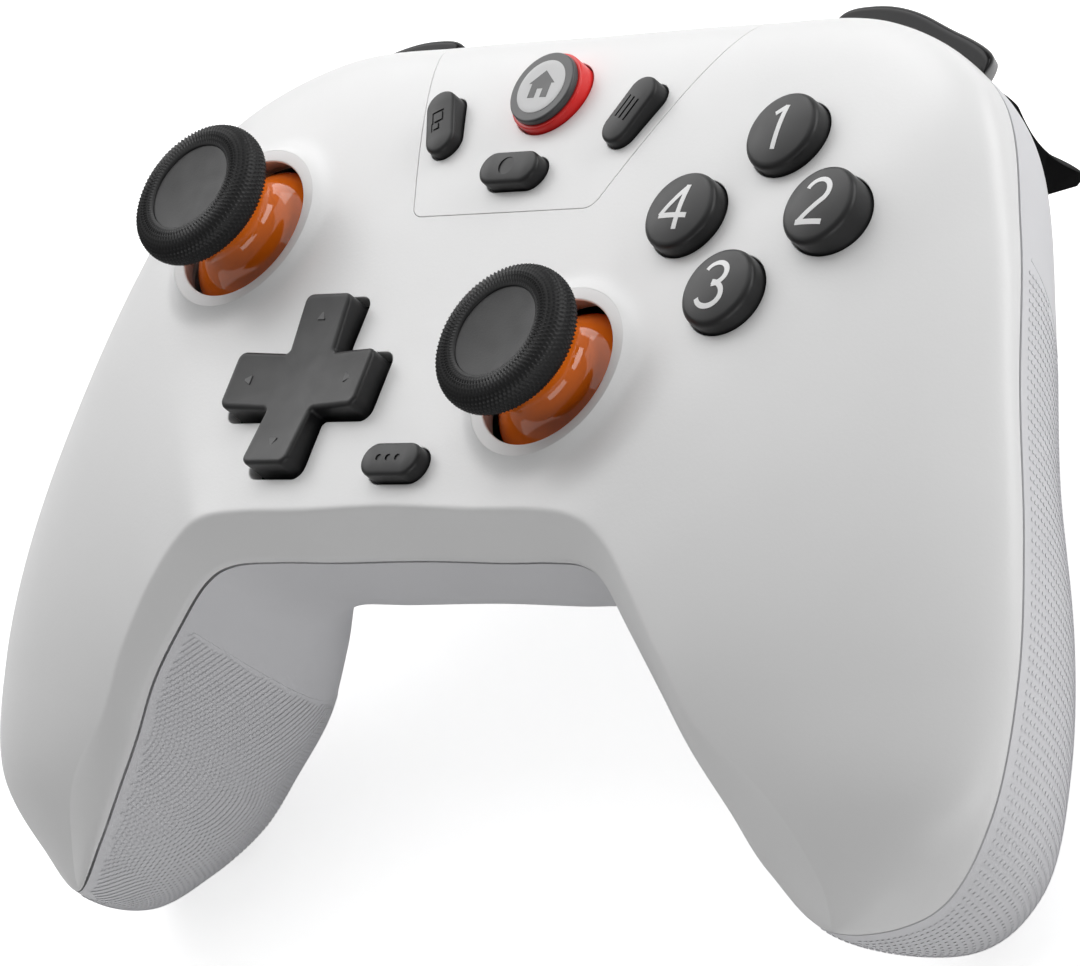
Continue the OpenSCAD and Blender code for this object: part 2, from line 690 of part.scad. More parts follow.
// Two position sensors on the module's sides and the click switch under the shaft
module stick_sensors(k) color("darkslategray") at_stick(k) {
    sensor_t = 2.4;
    h = housing_top - housing_low - 1;
    for (a = [0, 90]) rotate(a) translate([module_w / 2 + sensor_t / 2, 0, housing_low + h / 2])
        block_of(sensor_t, 10, h);
    switch_top = shaft_low - click_travel - 0.1;
    translate([0, 0, housing_low + 0.6]) block_of(5, 5, 1.2);
    translate([0, 0, housing_low + 1.2]) cylinder(r = 1.4, h = switch_top - housing_low - 1.2);
}

// Cross pad, drawn round its pivot
dpad_flange_r = dpad_arm + 0.4;
lug_y = 3.6;
lug_t = 1.4;
dpad_pin_r = 1;
dpad_block = 6.4;
dpad_axle_r = 1.2;
dpad_board = dpad_pivot_down - board_down;
dpad_flange = dpad_pivot_down - 5;
module at_dpad() { translate([dpad_spot[0], dpad_spot[1], -dpad_pivot_down]) children(); }
module dpad_cross() color("black") at_dpad() {
    top = dpad_pivot_down + dpad_up;
    difference() {
        cross_bars(dpad_arm, dpad_arm_w, dpad_flange + 0.6, top);
        translate([0, 0, top + 29.4]) sphere(30);
    }
    translate([0, 0, dpad_flange]) cylinder(r = dpad_flange_r, h = flange_t);
    for (s = [-1, 1]) translate([0, s * (lug_y + lug_t / 2), (dpad_flange - 1.6) / 2 + 0.1])
        block_of(4, lug_t, dpad_flange + 1.8);
    along_y(dpad_pin_r, 2 * lug_y + 2 * lug_t);
}
module dpad_pivot() color("silver") at_dpad() difference() {
    union() {
        block_of(dpad_block, dpad_block, 4);
        along_x(dpad_axle_r, dpad_block + 5.6);
    }
    along_y(dpad_pin_r + pin_gap, far);
}
module dpad_seat() color("gray") at_dpad() difference() {
    translate([0, 0, dpad_board / 2 + 1]) block_of(11.6, 4.4, 2 - dpad_board);
    translate([0, 0, far / 2 + dpad_board + 1.2]) block_of(8, far, far);
    along_x(dpad_axle_r + pin_gap, far);
}
module dpad_pad() color("slategray") at_dpad() {
    reach = dpad_arm - 2;
    difference() {
        translate([0, 0, dpad_board + pad_t / 2]) block_of(2 * dpad_arm + 4, 2 * dpad_arm + 4, pad_t);
        block_of(12.4, 5.2, far);
    }
    for (a = [0:90:270]) rotate(a) translate([reach, 0, dpad_board + pad_t / 2])
        cylinder(r = 1.8, h = dpad_flange - 1.5 - dpad_board - pad_t / 2);
}

// Face buttons
face_stem_r = 3;
face_flange_r = face_r + flange_out;
pad_bump = 1.9;
module face_button(k) color("black") {
    p = face_spot(k);
    z = face_z(p[0], p[1]);
    low = board_z + pad_t + pad_bump + face_travel + 0.3;
    top = z + face_up;
    under = z - flange_drop - flange_t;
    round_r = 0.7;
    translate([p[0], p[1], 0]) rotate_extrude() polygon(concat(
        [[0, low], [face_stem_r, low], [face_stem_r, under], [face_flange_r, under],
         [face_flange_r, under + flange_t], [face_r, under + flange_t]],
        [for (a = [0:30:90]) [face_r - round_r + round_r * cos(a), top - round_r + round_r * sin(a)]],
        [for (f = [0.75:-0.25:0]) [(face_r - round_r) * f, top + face_crown * (1 - f * f)]]
    ));
}
module face_button_pad() color("slategray") {
    half = face_pitch + face_stem_r;
    translate([face_x * stretch, face_y, board_z + pad_t / 2]) block_of(2 * half, 2 * half, pad_t);
    for (k = [0:3]) translate(concat(face_spot(k), [board_z + pad_t / 2]))
        cylinder(r = face_stem_r, h = pad_bump + pad_t / 2);
}

// Small buttons
stem_r = 1.5;
stem_low = board_z + switch_h + pill_travel + 0.2;
module pill_button(k) {
    p = pill_spots[k][0];
    z = face_z(p[0], p[1]);
    under = z - pill_spots[k][2] - flange_t;
    translate([p[0], p[1], 0]) {
        rotate(pill_spots[k][1]) {
            pill(pill_l, pill_w, under + flange_t / 2, z + pill_up);
            pill(pill_l + 2 * flange_out, pill_w + 2 * flange_out, under, under + flange_t);
        }
        translate([0, 0, stem_low]) cylinder(r = stem_r, h = under + flange_t / 2 - stem_low);
    }
}
module view_button() color("black") pill_button(0);
module menu_button() color("black") pill_button(1);
module share_button() color("black") pill_button(2);
module mode_button() color("black") pill_button(3);
home_z = face_z(0, home_y);
home_step = home_z + 1.1;
module home_button() color("dimgray") translate([0, home_y, 0]) {
    translate([0, 0, home_step]) cylinder(r1 = home_r, r2 = home_r - 0.3, h = pill_up + 0.5 - 1.1);
    translate([0, 0, stem_low]) cylinder(r = stem_r, h = home_step - stem_low + 0.2);
}
module home_ring() color("red") translate([0, home_y, 0]) difference() {
    under = home_z - panel_drop - flange_t;
    union() {
        translate([0, 0, under]) cylinder(r = home_r + home_ring_w, h = home_step - under);
        translate([0, 0, under]) cylinder(r = home_r + home_ring_w + flange_out, h = flange_t);
    }
    translate([0, 0, -far / 2]) cylinder(r = stem_r + fit, h = far);
}
module tact_switches() color("darkslategray") {
    for (p = switch_spots) translate([p[0], p[1], board_z]) {
        translate([0, 0, 1.8]) block_of(6, 6, 3.6);
        cylinder(r = 1.7, h = switch_h);
    }
}

// Bumpers on upright pins at their inner ends
hub_r = bumper_pin_r + 1.3;
pin_top = bumper_top + 2.2;
module right_bumper() color("black") difference() {
    translate([0, 0, bumper_low]) union() {
        linear_extrude(bumper_h) polygon(concat(bumper_front, bumper_back));
        translate(bumper_pin) cylinder(r = hub_r, h = bumper_h);
    }
    translate([bumper_pin[0], bumper_pin[1], -far]) cylinder(r = bumper_pin_r + pin_gap, h = 2 * far);
}
module left_bumper() on_left() right_bumper();
module bumper_pins() color("silver") both_sides()
    translate([bumper_pin[0], bumper_pin[1], bumper_low])
        cylinder(r = bumper_pin_r, h = pin_top - bumper_low);

// Triggers on shafts held by brackets below the front shell
arm_x = stretch * [39, 49];
arm_t = 2;
cheek_x = [arm_x[0] - 2.3, arm_x[1] + 2.3];
cheek_t = 1.6;
hub_out = trigger_shaft_r + 1.5;
bracket_top = -7.9;
bracket_t = 1.4;
bracket_y = [trigger_shaft_y - 3, trigger_shaft_y + 3.2];
bracket_ears = cheek_x;
bracket_ear_y = trigger_shaft_y + 1;
switch_x = (arm_x[0] + arm_x[1]) / 2 + 2;
function edge_y(x) = lookup(x, [for (f = [0:0.05:1]) let (o = outer(1 + 2 * f)) [o[0], o[1]]]);
// Outline of the trigger from the side, measured from the body's edge
function trigger_side() = concat(
    [[-8.2, trigger_top], [-0.8, trigger_top]],
    [for (s = [0:0.125:1])
        [-0.6 * s - trigger_dish * sin(180 * s), trigger_top - 0.7 - (trigger_low + trigger_top - 1.2) * s]],
    [[-1.4, -trigger_low], [-2.4, -trigger_low + 0.4], [-7, -trigger_low + 5.5],
     [-trigger_depth, -trigger_low + 7.7], [-trigger_depth, trigger_top - 6]]
);
module trigger_block() {
    mid = [-6, trigger_top - 4];
    loft([for (f = fractions)
        let (o = outer(between(trigger_u, f)), g = 1 - 0.07 * pow(abs(2 * f - 1), 6))
        [for (p = turned(trigger_side())) let (q = mid + (p - mid) * g) [o[0], o[1] + q[0], q[1]]]]);
}
module from_side(x, t) { translate([x - t / 2, 0, 0]) rotate([90, 0, 90]) linear_extrude(t) children(); }
module right_trigger() color("black") difference() {
    union() {
        trigger_block();
        for (x = arm_x) {
            y = edge_y(x) - 6;
            from_side(x, arm_t) polygon([
                trigger_axis + [-hub_out, 0], trigger_axis + [hub_out, 0], [y, trigger_top - 0.2],
                [y, trigger_top - 4], trigger_axis + [0, -hub_out - 6]
            ]);
            translate([x, trigger_axis[0], trigger_axis[1]]) along_x(hub_out, arm_t);
        }
    }
    translate([0, trigger_axis[0], trigger_axis[1]]) along_x(trigger_shaft_r + pin_gap, 4 * far);
}
module left_trigger() on_left() right_trigger();
module right_trigger_bracket() color("dimgray") difference() {
    union() {
        translate([cheek_x[0] - cheek_t / 2, bracket_y[0], bracket_top - bracket_t])
            cube([cheek_x[1] - cheek_x[0] + cheek_t, bracket_y[1] - bracket_y[0], bracket_t]);
        translate([switch_x - 2.5, bracket_y[1] - tiny, bracket_top - bracket_t])
            cube([5, switch_reach, bracket_t]);
        for (x = cheek_x) {
            translate([x, trigger_axis[0], trigger_axis[1]]) along_x(hub_out, cheek_t);
            translate([x - cheek_t / 2, trigger_axis[0] - hub_out, trigger_axis[1]])
                cube([cheek_t, 2 * hub_out, bracket_top - bracket_t / 2 - trigger_axis[1]]);
        }
    }
    translate([0, trigger_axis[0], trigger_axis[1]]) along_x(trigger_shaft_r + fit, 4 * far);
}
module left_trigger_bracket() on_left() right_trigger_bracket();
module right_trigger_shaft() color("silver")
    translate([(cheek_x[0] + cheek_x[1]) / 2, trigger_axis[0], trigger_axis[1]])
        along_x(trigger_shaft_r, cheek_x[1] - cheek_x[0] + cheek_t + 1);
module left_trigger_shaft() on_left() right_trigger_shaft();
// Torsion spring, drawn as its wound sleeve with the leg that bears on the bracket
spring_l = 5;
module right_trigger_spring() color("lightsteelblue")
    translate([arm_x[0] + arm_t / 2 + 0.4 + spring_l / 2, trigger_axis[0], trigger_axis[1]]) {
        difference() {
            along_x(trigger_shaft_r + 0.9, spring_l);
            along_x(trigger_shaft_r + 0.25, far);
        }
        leg = bracket_top - bracket_t - trigger_axis[1] - trigger_shaft_r - 0.4;
        translate([0, 0, trigger_shaft_r + 0.4 + leg / 2]) block_of(0.7, 0.7, leg);
    }
module left_trigger_spring() on_left() right_trigger_spring();
// Switch behind each bumper, hung from the bracket's tongue
bumper_switch_h = 4.4;
switch_reach = edge_y(switch_x) - bumper_in - bumper_room - bracket_y[1];
module bumper_switches() color("darkslategray") both_sides()
    translate([switch_x - 2, bracket_y[1] + 0.2, bracket_top - bracket_t - bumper_switch_h])
        cube([4, switch_reach - 0.2, bumper_switch_h]);

// Electronics
module main_board() color("seagreen") difference() {
    neck_top = usb_y - 2.4;
    half = [
        [7.5, neck_top], [7.5, board_top_y], [board_neck_x - 4, board_top_y], [board_neck_x, board_wing_y[1]],
        [board_x, board_wing_y[1]], [board_x, board_wing_y[0]], [board_neck_x - 2, board_low_y]
    ];
    translate([0, 0, board_z - board_t]) linear_extrude(board_t)
        polygon(concat(half, turned([for (p = half) [-p[0], p[1]]])));
    for (p = board_screw_spots) translate([p[0], p[1], -far]) cylinder(r = board_screw_r + 0.15, h = far);
}
module battery() color("steelblue") translate([0, battery_y, battery_z + battery_t / 2])
    block_of(battery_l, battery_w, battery_t);
module usb_socket() color("silver") translate([0, usb_y, board_z + usb_h / 2]) rotate([90, 0, 0]) {
    difference() {
        pill(usb_w, usb_h, 0, usb_l);
        pill(usb_w - 0.6, usb_h - 0.6, -1, usb_l - 1);
    }
    translate([0, 0, usb_l / 2]) block_of(usb_w - 2.4, 0.7, usb_l - 1);
}
module right_rumble_motor() color("silver") translate(motor_at) difference() {
    along_y(motor_r, motor_l);
    translate([0, motor_l / 2, 0]) along_y(rotor_r + pin_gap, 2 * rotor_in + 2);
}
module left_rumble_motor() on_left() right_rumble_motor();
rotor_r = 1;
rotor_in = 4;
weight_gap = 1.2;
module right_rumble_weight() color("dimgray") translate(motor_at + [0, motor_l / 2, 0]) {
    rotor_l = weight_l + weight_gap + rotor_in;
    translate([0, rotor_l / 2 - rotor_in, 0]) along_y(rotor_r, rotor_l);
    translate([0, weight_l / 2 + weight_gap, 0]) {
        along_y(rotor_r + 1.4, weight_l);
        difference() {
            along_y(weight_r, weight_l);
            translate([0, 0, far / 2]) block_of(far, far, far);
        }
    }
}
module left_rumble_weight() on_left() right_rumble_weight();

// Fasteners
module shell_screws() color("silver") both_sides() for (h = head_spots) translate(h) {
    translate([0, 0, -screw_head_t]) cylinder(r = screw_head_r, h = screw_head_t);
    cylinder(r = screw_r, h = screw_grip + screw_bite);
}
module board_screws() color("silver") for (p = board_screw_spots) translate([p[0], p[1], board_z - board_t]) {
    translate([0, 0, -board_head_t]) cylinder(r = 2 * board_screw_r, h = board_head_t);
    cylinder(r = board_screw_r, h = board_t + screw_bite);
}

seat() front_shell($fn = shell_fn);
seat() back_shell($fn = shell_fn);
seat() centre_panel($fn = shell_fn);
seat() stick_ring(0);  // left_stick_ring
seat() stick_ring(1);  // right_stick_ring
seat() stick_cap(0);  // left_stick_cap
seat() stick_cap(1);  // right_stick_cap
seat() stick_dome(0);  // left_stick_dome
seat() stick_dome(1);  // right_stick_dome
seat() stick_shaft(0);  // left_stick_shaft
seat() stick_shaft(1);  // right_stick_shaft
seat() stick_block(0);  // left_stick_block
seat() stick_block(1);  // right_stick_block
seat() stick_gimbal(0);  // left_stick_gimbal
seat() stick_gimbal(1);  // right_stick_gimbal
seat() stick_rocker(0);  // left_stick_rocker
seat() stick_rocker(1);  // right_stick_rocker
seat() stick_housing(0);  // left_stick_housing
seat() stick_housing(1);  // right_stick_housing
seat() stick_sensors(0);  // left_stick_sensors
seat() stick_sensors(1);  // right_stick_sensors
seat() dpad_cross();
seat() dpad_pivot();
seat() dpad_seat();
seat() dpad_pad();
seat() face_button(0);  // face_button_1
seat() face_button(1);  // face_button_2
seat() face_button(2);  // face_button_3
seat() face_button(3);  // face_button_4
seat() face_button_pad();
seat() home_button();
seat() home_ring();
seat() view_button();
seat() menu_button();
seat() share_button();
seat() mode_button();
seat() tact_switches();
seat() left_bumper();
seat() right_bumper();
seat() bumper_pins();
seat() bumper_switches();
seat() left_trigger();
seat() right_trigger();
seat() left_trigger_bracket();
seat() right_trigger_bracket();
seat() left_trigger_shaft();
seat() right_trigger_shaft();
seat() left_trigger_spring();
seat() right_trigger_spring();
seat() main_board();
seat() battery();
seat() left_rumble_motor();
seat() right_rumble_motor();
seat() left_rumble_weight();
seat() right_rumble_weight();
seat() usb_socket();
seat() shell_screws();
seat() board_screws();
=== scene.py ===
"""Looks of the gamepad: smooth shells, controls, finishes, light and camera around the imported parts.

Shapes are worked out in millimetres with the middle of the face at zero, x to the player's right,
y towards the bumpers and z out of the face. Every mesh is then moved to its seat and turned to metres.
"""
import json
import math

import bmesh
import bpy
import numpy as np
from mathutils import Matrix, Vector
from mathutils.bvhtree import BVHTree

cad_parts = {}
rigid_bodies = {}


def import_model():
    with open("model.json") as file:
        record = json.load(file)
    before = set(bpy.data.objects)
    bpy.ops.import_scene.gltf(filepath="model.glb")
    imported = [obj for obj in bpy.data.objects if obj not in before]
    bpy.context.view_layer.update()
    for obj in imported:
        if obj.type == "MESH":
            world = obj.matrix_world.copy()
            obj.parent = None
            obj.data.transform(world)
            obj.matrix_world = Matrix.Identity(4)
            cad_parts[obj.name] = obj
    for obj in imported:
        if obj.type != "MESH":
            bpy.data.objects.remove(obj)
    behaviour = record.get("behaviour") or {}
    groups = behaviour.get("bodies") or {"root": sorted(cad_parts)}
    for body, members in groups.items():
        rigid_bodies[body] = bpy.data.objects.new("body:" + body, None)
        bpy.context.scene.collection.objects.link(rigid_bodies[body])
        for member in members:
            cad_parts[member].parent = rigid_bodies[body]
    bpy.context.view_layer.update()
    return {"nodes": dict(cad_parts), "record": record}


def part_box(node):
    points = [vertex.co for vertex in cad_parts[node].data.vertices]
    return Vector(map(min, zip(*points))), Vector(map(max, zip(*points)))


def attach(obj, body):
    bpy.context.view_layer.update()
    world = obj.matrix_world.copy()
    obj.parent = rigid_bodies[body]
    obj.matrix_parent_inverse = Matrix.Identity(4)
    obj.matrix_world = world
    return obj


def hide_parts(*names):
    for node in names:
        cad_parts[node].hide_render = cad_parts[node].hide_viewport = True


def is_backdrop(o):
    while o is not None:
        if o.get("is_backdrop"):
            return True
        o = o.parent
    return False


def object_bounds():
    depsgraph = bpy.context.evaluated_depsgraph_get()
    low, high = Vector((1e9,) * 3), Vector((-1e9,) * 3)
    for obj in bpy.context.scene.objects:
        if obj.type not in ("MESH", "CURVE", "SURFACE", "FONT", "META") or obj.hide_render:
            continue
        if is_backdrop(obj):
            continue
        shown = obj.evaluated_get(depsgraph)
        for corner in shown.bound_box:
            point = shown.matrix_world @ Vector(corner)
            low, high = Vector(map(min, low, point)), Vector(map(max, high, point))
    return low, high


for leftover in list(bpy.data.objects):
    bpy.data.objects.remove(leftover)
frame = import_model()

MM = 0.001

# Body, from the part's source; the ends of the shell and of its hollow differ by a tenth of a station or less
WALL = 2.2
SEAM_GAP = 0.4
SIDE_WALL = 1.2
LIP_H = 1.0
OUTER_SEAM = np.array([
    [0, 43, -10], [23, 43, -10], [43.5, 42, -10], [60, 33, -10], [68.5, 16.5, -11],
    [74, -2, -13.5], [78, -18, -17.5], [79.5, -32, -22], [77.5, -45.5, -27], [69.5, -54, -32],
])
INNER_SEAM = np.array([
    [0, -25, -8.5], [13, -25.5, -8], [22, -26, -7], [28, -27, -6], [32, -29, -6.5],
    [36, -33.5, -8.5], [40.5, -39, -11.5], [44.5, -44.5, -15.5], [49, -49.5, -19.5], [53.5, -54.5, -23.5],
])
GRIP_TIP = np.array([60, -58.5, -28.5])
EDGE_Z = np.array([0, 0, -0.5, -0.5, -1.8, -4.5, -8.4, -13, -18.5, -25.5])
CREASE_Z = np.array([0, 0, 0.2, 0, -1.4, -3.7, -7.2, -11.8, -17.5, -24.2])
CREASE_AT = np.array([0.965, 0.965, 0.96, 0.95, 0.94, 0.93, 0.93, 0.91, 0.78, 0.63, 0.5])
EDGE_ROUND = np.array([3.8, 3.8, 3.8, 3.4, 2.5, 2.1, 2, 2, 2, 2, 2])
ARCH_ROUND = np.array([1, 1, 1, 1, 1.05, 1.1, 1.2, 1.4, 1.7, 1.9, 2])
BACK_DEPTH = np.array([19.7, 19.8, 20.2, 23.4, 28, 31, 31, 28.5, 23, 13.7, 0])
BACK_AT = np.array([0.5, 0.5, 0.5, 0.52, 0.56, 0.58, 0.57, 0.57, 0.53, 0.5, 0.5])
BACK_ROUND_OUT = np.array([4, 4, 3.3, 2.2, 1.8, 1.7, 1.8, 1.9, 2.1, 2.2, 2])
BACK_ROUND_IN = np.array([4, 4, 4, 4.3, 4.5, 4.2, 3.7, 3.3, 2.9, 2.4, 2])
LAST = len(OUTER_SEAM)
SHELL_END = 9.985
VOID_END = 8.6

# Controls, from the part's source; the stick rings stand higher and the panel's gap is finer than there,
# and the bumpers and triggers follow the photograph more closely
GAP = 0.4
STICKS = {"left": (-41.8, 14.7), "right": (18.6, -6.4)}
STICK_HOLE_R = 9.15
RING_W = 1.5
RING_UP = 1.1
PIVOT_Z = -10.0
CAP_R = 9.2
CAP_LOW = 5.6
NECK_R = 4.6
DOME_R = 12.378
DOME_T = 1.2
DOME_BACK = 0.3
DOME_EDGE = 50
SHAFT_R = 1.8
DPAD = (-19.8, -7.1)
DPAD_ARM = 11.2
DPAD_ARM_W = 7.5
DPAD_UP = 2.6
DPAD_ROOM = 0.75
FACE_MIDDLE = (40.3, 13.4)
FACE_PITCH = 10.1
FACE_R = 4.9
FACE_UP = 2.2
FACE_CROWN = 0.5
HOME = (0.0, 31.4)
HOME_R = 4.7
HOME_RING_W = 0.4
PILLS = {
    "view": ((-15.1, 27.8), 114.0), "menu": ((15.1, 27.8), 66.0),
    "share": ((0.0, 20.6), 0.0), "mode": ((0.0, -17.5), 0.0),
}
PILL_L = 9.0
PILL_W = 4.2
PILL_UP = 1.9
PANEL_LOW_W = 14.9
PANEL_TOP_W = 26.2
PANEL_LOW_Y = 17.5
PANEL_HIGH_Y = 44.3
PANEL_R = 2.0
PANEL_T = 1.6
PANEL_GAP = 0.07
BUMPER_SPAN = (1.3, 2.72)
BUMPER_PIN_AT = 1.4952
BUMPER_OUT = 4.15
BUMPER_SLIM = 1.7
BUMPER_LEAN = 0.045
BUMPER_IN = 3.2
BUMPER_H = 5.2
BUMPER_TOP = -10.2
BUMPER_PIN_R = 1.3
TRIGGER_SPAN = (1.66, 2.52)
TRIGGER_LEAN = 0.2
TRIGGER_WIDE = 7.0
TRIGGER_TOP = -16.4
TRIGGER_LOW = 33.6
TRIGGER_DEPTH = 12.8
TRIGGER_ROOM = 3.2
TRIGGER_DISH = 1.5
TRIGGER_AXIS = (30.0, -13.0)
TRIGGER_SHAFT_R = 1.5
TRIGGER_ARMS = (39.0, 49.0)
SCREWS = [((57.0, -43.0), -34.0), ((26.5, 34.5), -21.5)]
SCREW_HEAD_R = 2.4
USB = (42.3, -14.9)
USB_W = 9.0
USB_H = 3.2
BOARD_TOP = -16.5
BATTERY_Y = 5.0


# Curves of the body
def spline(values, before, after, u):
    """Smooth curve through the values, one for each station, read at the stations u."""
    values = np.asarray(values, float)
    line = np.concatenate([[before], values, [after]])
    i = np.minimum(np.floor(u).astype(int), LAST - 1)
    t = u - i
    if line.ndim > 1:
        t = t[:, None]
    a, b, c, d = (line[i + k] for k in range(4))
    second = 2 * a - 5 * b + 4 * c - d
    third = 3 * b - a - 3 * c + d
    return 0.5 * (2 * b + (c - a) * t + second * t ** 2 + third * t ** 3)


def unit(vectors):
    return vectors / np.linalg.norm(vectors, axis=1, keepdims=True)


MIRROR = np.array([-1, 1, 1])
outer_points = np.vstack([OUTER_SEAM, GRIP_TIP])
inner_points = np.vstack([INNER_SEAM, GRIP_TIP])
edge_rise = np.append(EDGE_Z - OUTER_SEAM[:, 2], 0)
crease_line = OUTER_SEAM[:, 2] * (1 - CREASE_AT[:-1]) + INNER_SEAM[:, 2] * CREASE_AT[:-1]
crease_rise = np.append(CREASE_Z - crease_line, 0)


def outer(u):
    return spline(outer_points, outer_points[1] * MIRROR, inner_points[LAST - 1], u)


def inner(u):
    return spline(inner_points, inner_points[1] * MIRROR, outer_points[LAST - 1], u)


def share(values, u):
    return spline(values, values[1], values[LAST], u)


def rise(values, u):
    return spline(values, values[1], -values[LAST - 1], u)


def chord(u, inset):
    """Both ends of each section, moved towards each other by the wall."""
    o, i = outer(u), inner(u)
    d = unit((i - o) * [1, 1, 0])
    return o + d * inset * SIDE_WALL, i - d * inset * SIDE_WALL


FINE = 500
LEAST_RISE = 0.01
LIP_SHARE = 6
fine_steps = np.linspace(0, 1, FINE)


def hump(t, roundness):
    return (1 - (1 - t) ** roundness) ** (1 / roundness)


def joined(ends, across, up):
    """Points of each section from how far across and how far up they lie."""
    o, i = ends
    points = o[:, None] * (1 - across[..., None]) + i[:, None] * across[..., None]
    points[..., 2] += up
    return points


def front_sections(u, inset=0.0):
    """The face of each section, from the outer seam over the crease to the seam inside the arch."""
    ends = chord(u, inset)
    w, n, m = (share(v, u)[:, None] for v in (CREASE_AT, EDGE_ROUND, ARCH_ROUND))
    e, r = (np.maximum(rise(v, u) - inset, LEAST_RISE)[:, None] for v in (edge_rise, crease_rise))
    lip = np.minimum(LIP_H, r / LIP_SHARE)
    t = fine_steps[None] ** 4
    face = joined(ends, w * t, (e + (r - e) * t) * hump(t, n))
    t = 1 - (1 - fine_steps[None, ::-1]) ** 2
    arch = joined(ends, 1 - (1 - w) * t, lip + (r - lip) * hump(t, m))
    foot = inner(u) if inset == 0 else ends[1]
    if inset == 0:
        face[:, 0, 2] += SEAM_GAP / 2
        foot = foot + [0, 0, SEAM_GAP / 2]
    return [face, np.concatenate([arch[:, 1:], foot[:, None]], 1)]


def back_sections(u, inset=0.0):
    """The back of each section, from the outer seam under the body to the seam inside the arch."""
    ends = chord(u, inset)
    w, n, m = (share(v, u)[:, None] for v in (BACK_AT, BACK_ROUND_OUT, BACK_ROUND_IN))
    h = np.maximum(rise(BACK_DEPTH, u) - inset, LEAST_RISE)[:, None]
    t = fine_steps[None] ** 4
    out_side = joined(ends, w * t, -h * hump(t, n))
    t = t[:, ::-1]
    in_side = joined(ends, 1 - (1 - w) * t, -h * hump(t, m))
    drop = np.array([0, 0, -SEAM_GAP / 2])
    return [out_side + drop, in_side[:, 1:] + drop]


def arc_lengths(line):
    steps = np.linalg.norm(np.diff(line, axis=0), axis=1)
    return np.concatenate([[0], np.cumsum(steps)])


def at_lengths(line, lengths, wanted):
    return np.stack([np.interp(wanted, lengths, line[:, k]) for k in range(3)], 1)


def softened(line, reach):
    """Rounds the corners of an evenly spaced line and keeps its ends."""
    for _ in range(2):
        before = 2 * line[0] - line[reach:0:-1]
        after = 2 * line[-1] - line[-2:-reach - 2:-1]
        long = np.cumsum(np.concatenate([np.zeros((1, 3)), before, line, after]), axis=0)
        line = (long[2 * reach + 1:] - long[:-2 * reach - 1]) / (2 * reach + 1)
    return line


EVEN = 900
CORNER_REACH = 4
STRAIGHT_WEIGHT = 0.25
BEND_LIMIT = 4.0
EVEN_WEIGHT = 0.15


def resampled(parts, counts):
    """One row of points for each section, closer together where the section bends."""
    rows = []
    for section in zip(*parts):
        line = np.concatenate(section)
        lengths = arc_lengths(line)
        split = lengths[len(section[0]) - 1] / lengths[-1]
        even = softened(at_lengths(line, lengths, np.linspace(0, lengths[-1], EVEN)), CORNER_REACH)
        lengths = arc_lengths(even)
        bending = np.gradient(np.gradient(even, axis=0), axis=0)
        bend = np.linalg.norm(bending, axis=1) / (lengths[-1] / EVEN) ** 2
        weight = np.cumsum(np.minimum(STRAIGHT_WEIGHT + bend, BEND_LIMIT) + EVEN_WEIGHT)
        weight = (weight - weight[0]) / (weight[-1] - weight[0])
        middle = np.interp(split * lengths[-1], lengths, weight)
        past_middle = np.linspace(middle, 1, counts[1] + 1)[1:]
        wanted = np.concatenate([np.linspace(0, middle, counts[0]), past_middle])
        rows.append(at_lengths(even, lengths, np.interp(wanted, weight, lengths)))
    return np.array(rows)


CLOSE_END = 3.6
CLOSE_SHARE = 0.6


def stations(end, count, tip_count):
    """Stations of the right half, closer together where the sticks are and towards the tip of the grip."""
    body = np.interp(np.linspace(0, 1, count), (0, CLOSE_SHARE, 1), (0, CLOSE_END, end - 1))
    tip = end - (1 - np.linspace(0, 1, tip_count)[1:]) ** 2
    return np.concatenate([body, tip])


def both_halves(rows):
    """Rows from the left tip to the right tip, out of the rows of the right half."""
    return np.concatenate([(rows * MIRROR)[:0:-1], rows])


# The board's top and the battery's middle give the seat of the whole drawing in the frame
board_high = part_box("main_board")[1]
battery_low, battery_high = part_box("battery")
seat = np.array([0, (battery_low.y + battery_high.y) / 2 / MM - BATTERY_Y, board_high.z / MM - BOARD_TOP])


# Making meshes
def seated(points):
    return (np.asarray(points, float) + seat) * MM


def new_object(name, points, faces):
    mesh = bpy.data.meshes.new(name)
    mesh.from_pydata(seated(points).tolist(), [], faces)
    mesh.validate()
    piece = bpy.data.objects.new(name, mesh)
    bpy.context.scene.collection.objects.link(piece)
    return piece


def grid_faces(rows, columns, closed=True):
    """Four-sided faces between neighbouring rows; a closed row joins its last point to its first."""
    j, k = np.meshgrid(np.arange(rows - 1), np.arange(columns if closed else columns - 1), indexing="ij")
    a = (j * columns + k).ravel()
    b = (j * columns + (k + 1) % columns).ravel()
    return np.stack([a, b, b + columns, a + columns], 1).tolist()


def loft(name, rows):
    """Closed solid through closed rows of points, with flat ends."""
    rows = np.asarray(rows, float)
    count, columns = rows.shape[:2]
    faces = grid_faces(count, columns)
    faces.append(list(range(columns))[::-1])
    faces.append([(count - 1) * columns + k for k in range(columns)])
    piece = new_object(name, rows.reshape(-1, 3), faces)
    outward(piece)
    return piece


def outward(piece):
    """Turns all faces outwards."""
    work = bmesh.new()
    work.from_mesh(piece.data)
    bmesh.ops.recalc_face_normals(work, faces=work.faces)
    if work.calc_volume(signed=True) < 0:
        bmesh.ops.reverse_faces(work, faces=work.faces)
    work.to_mesh(piece.data)
    work.free()


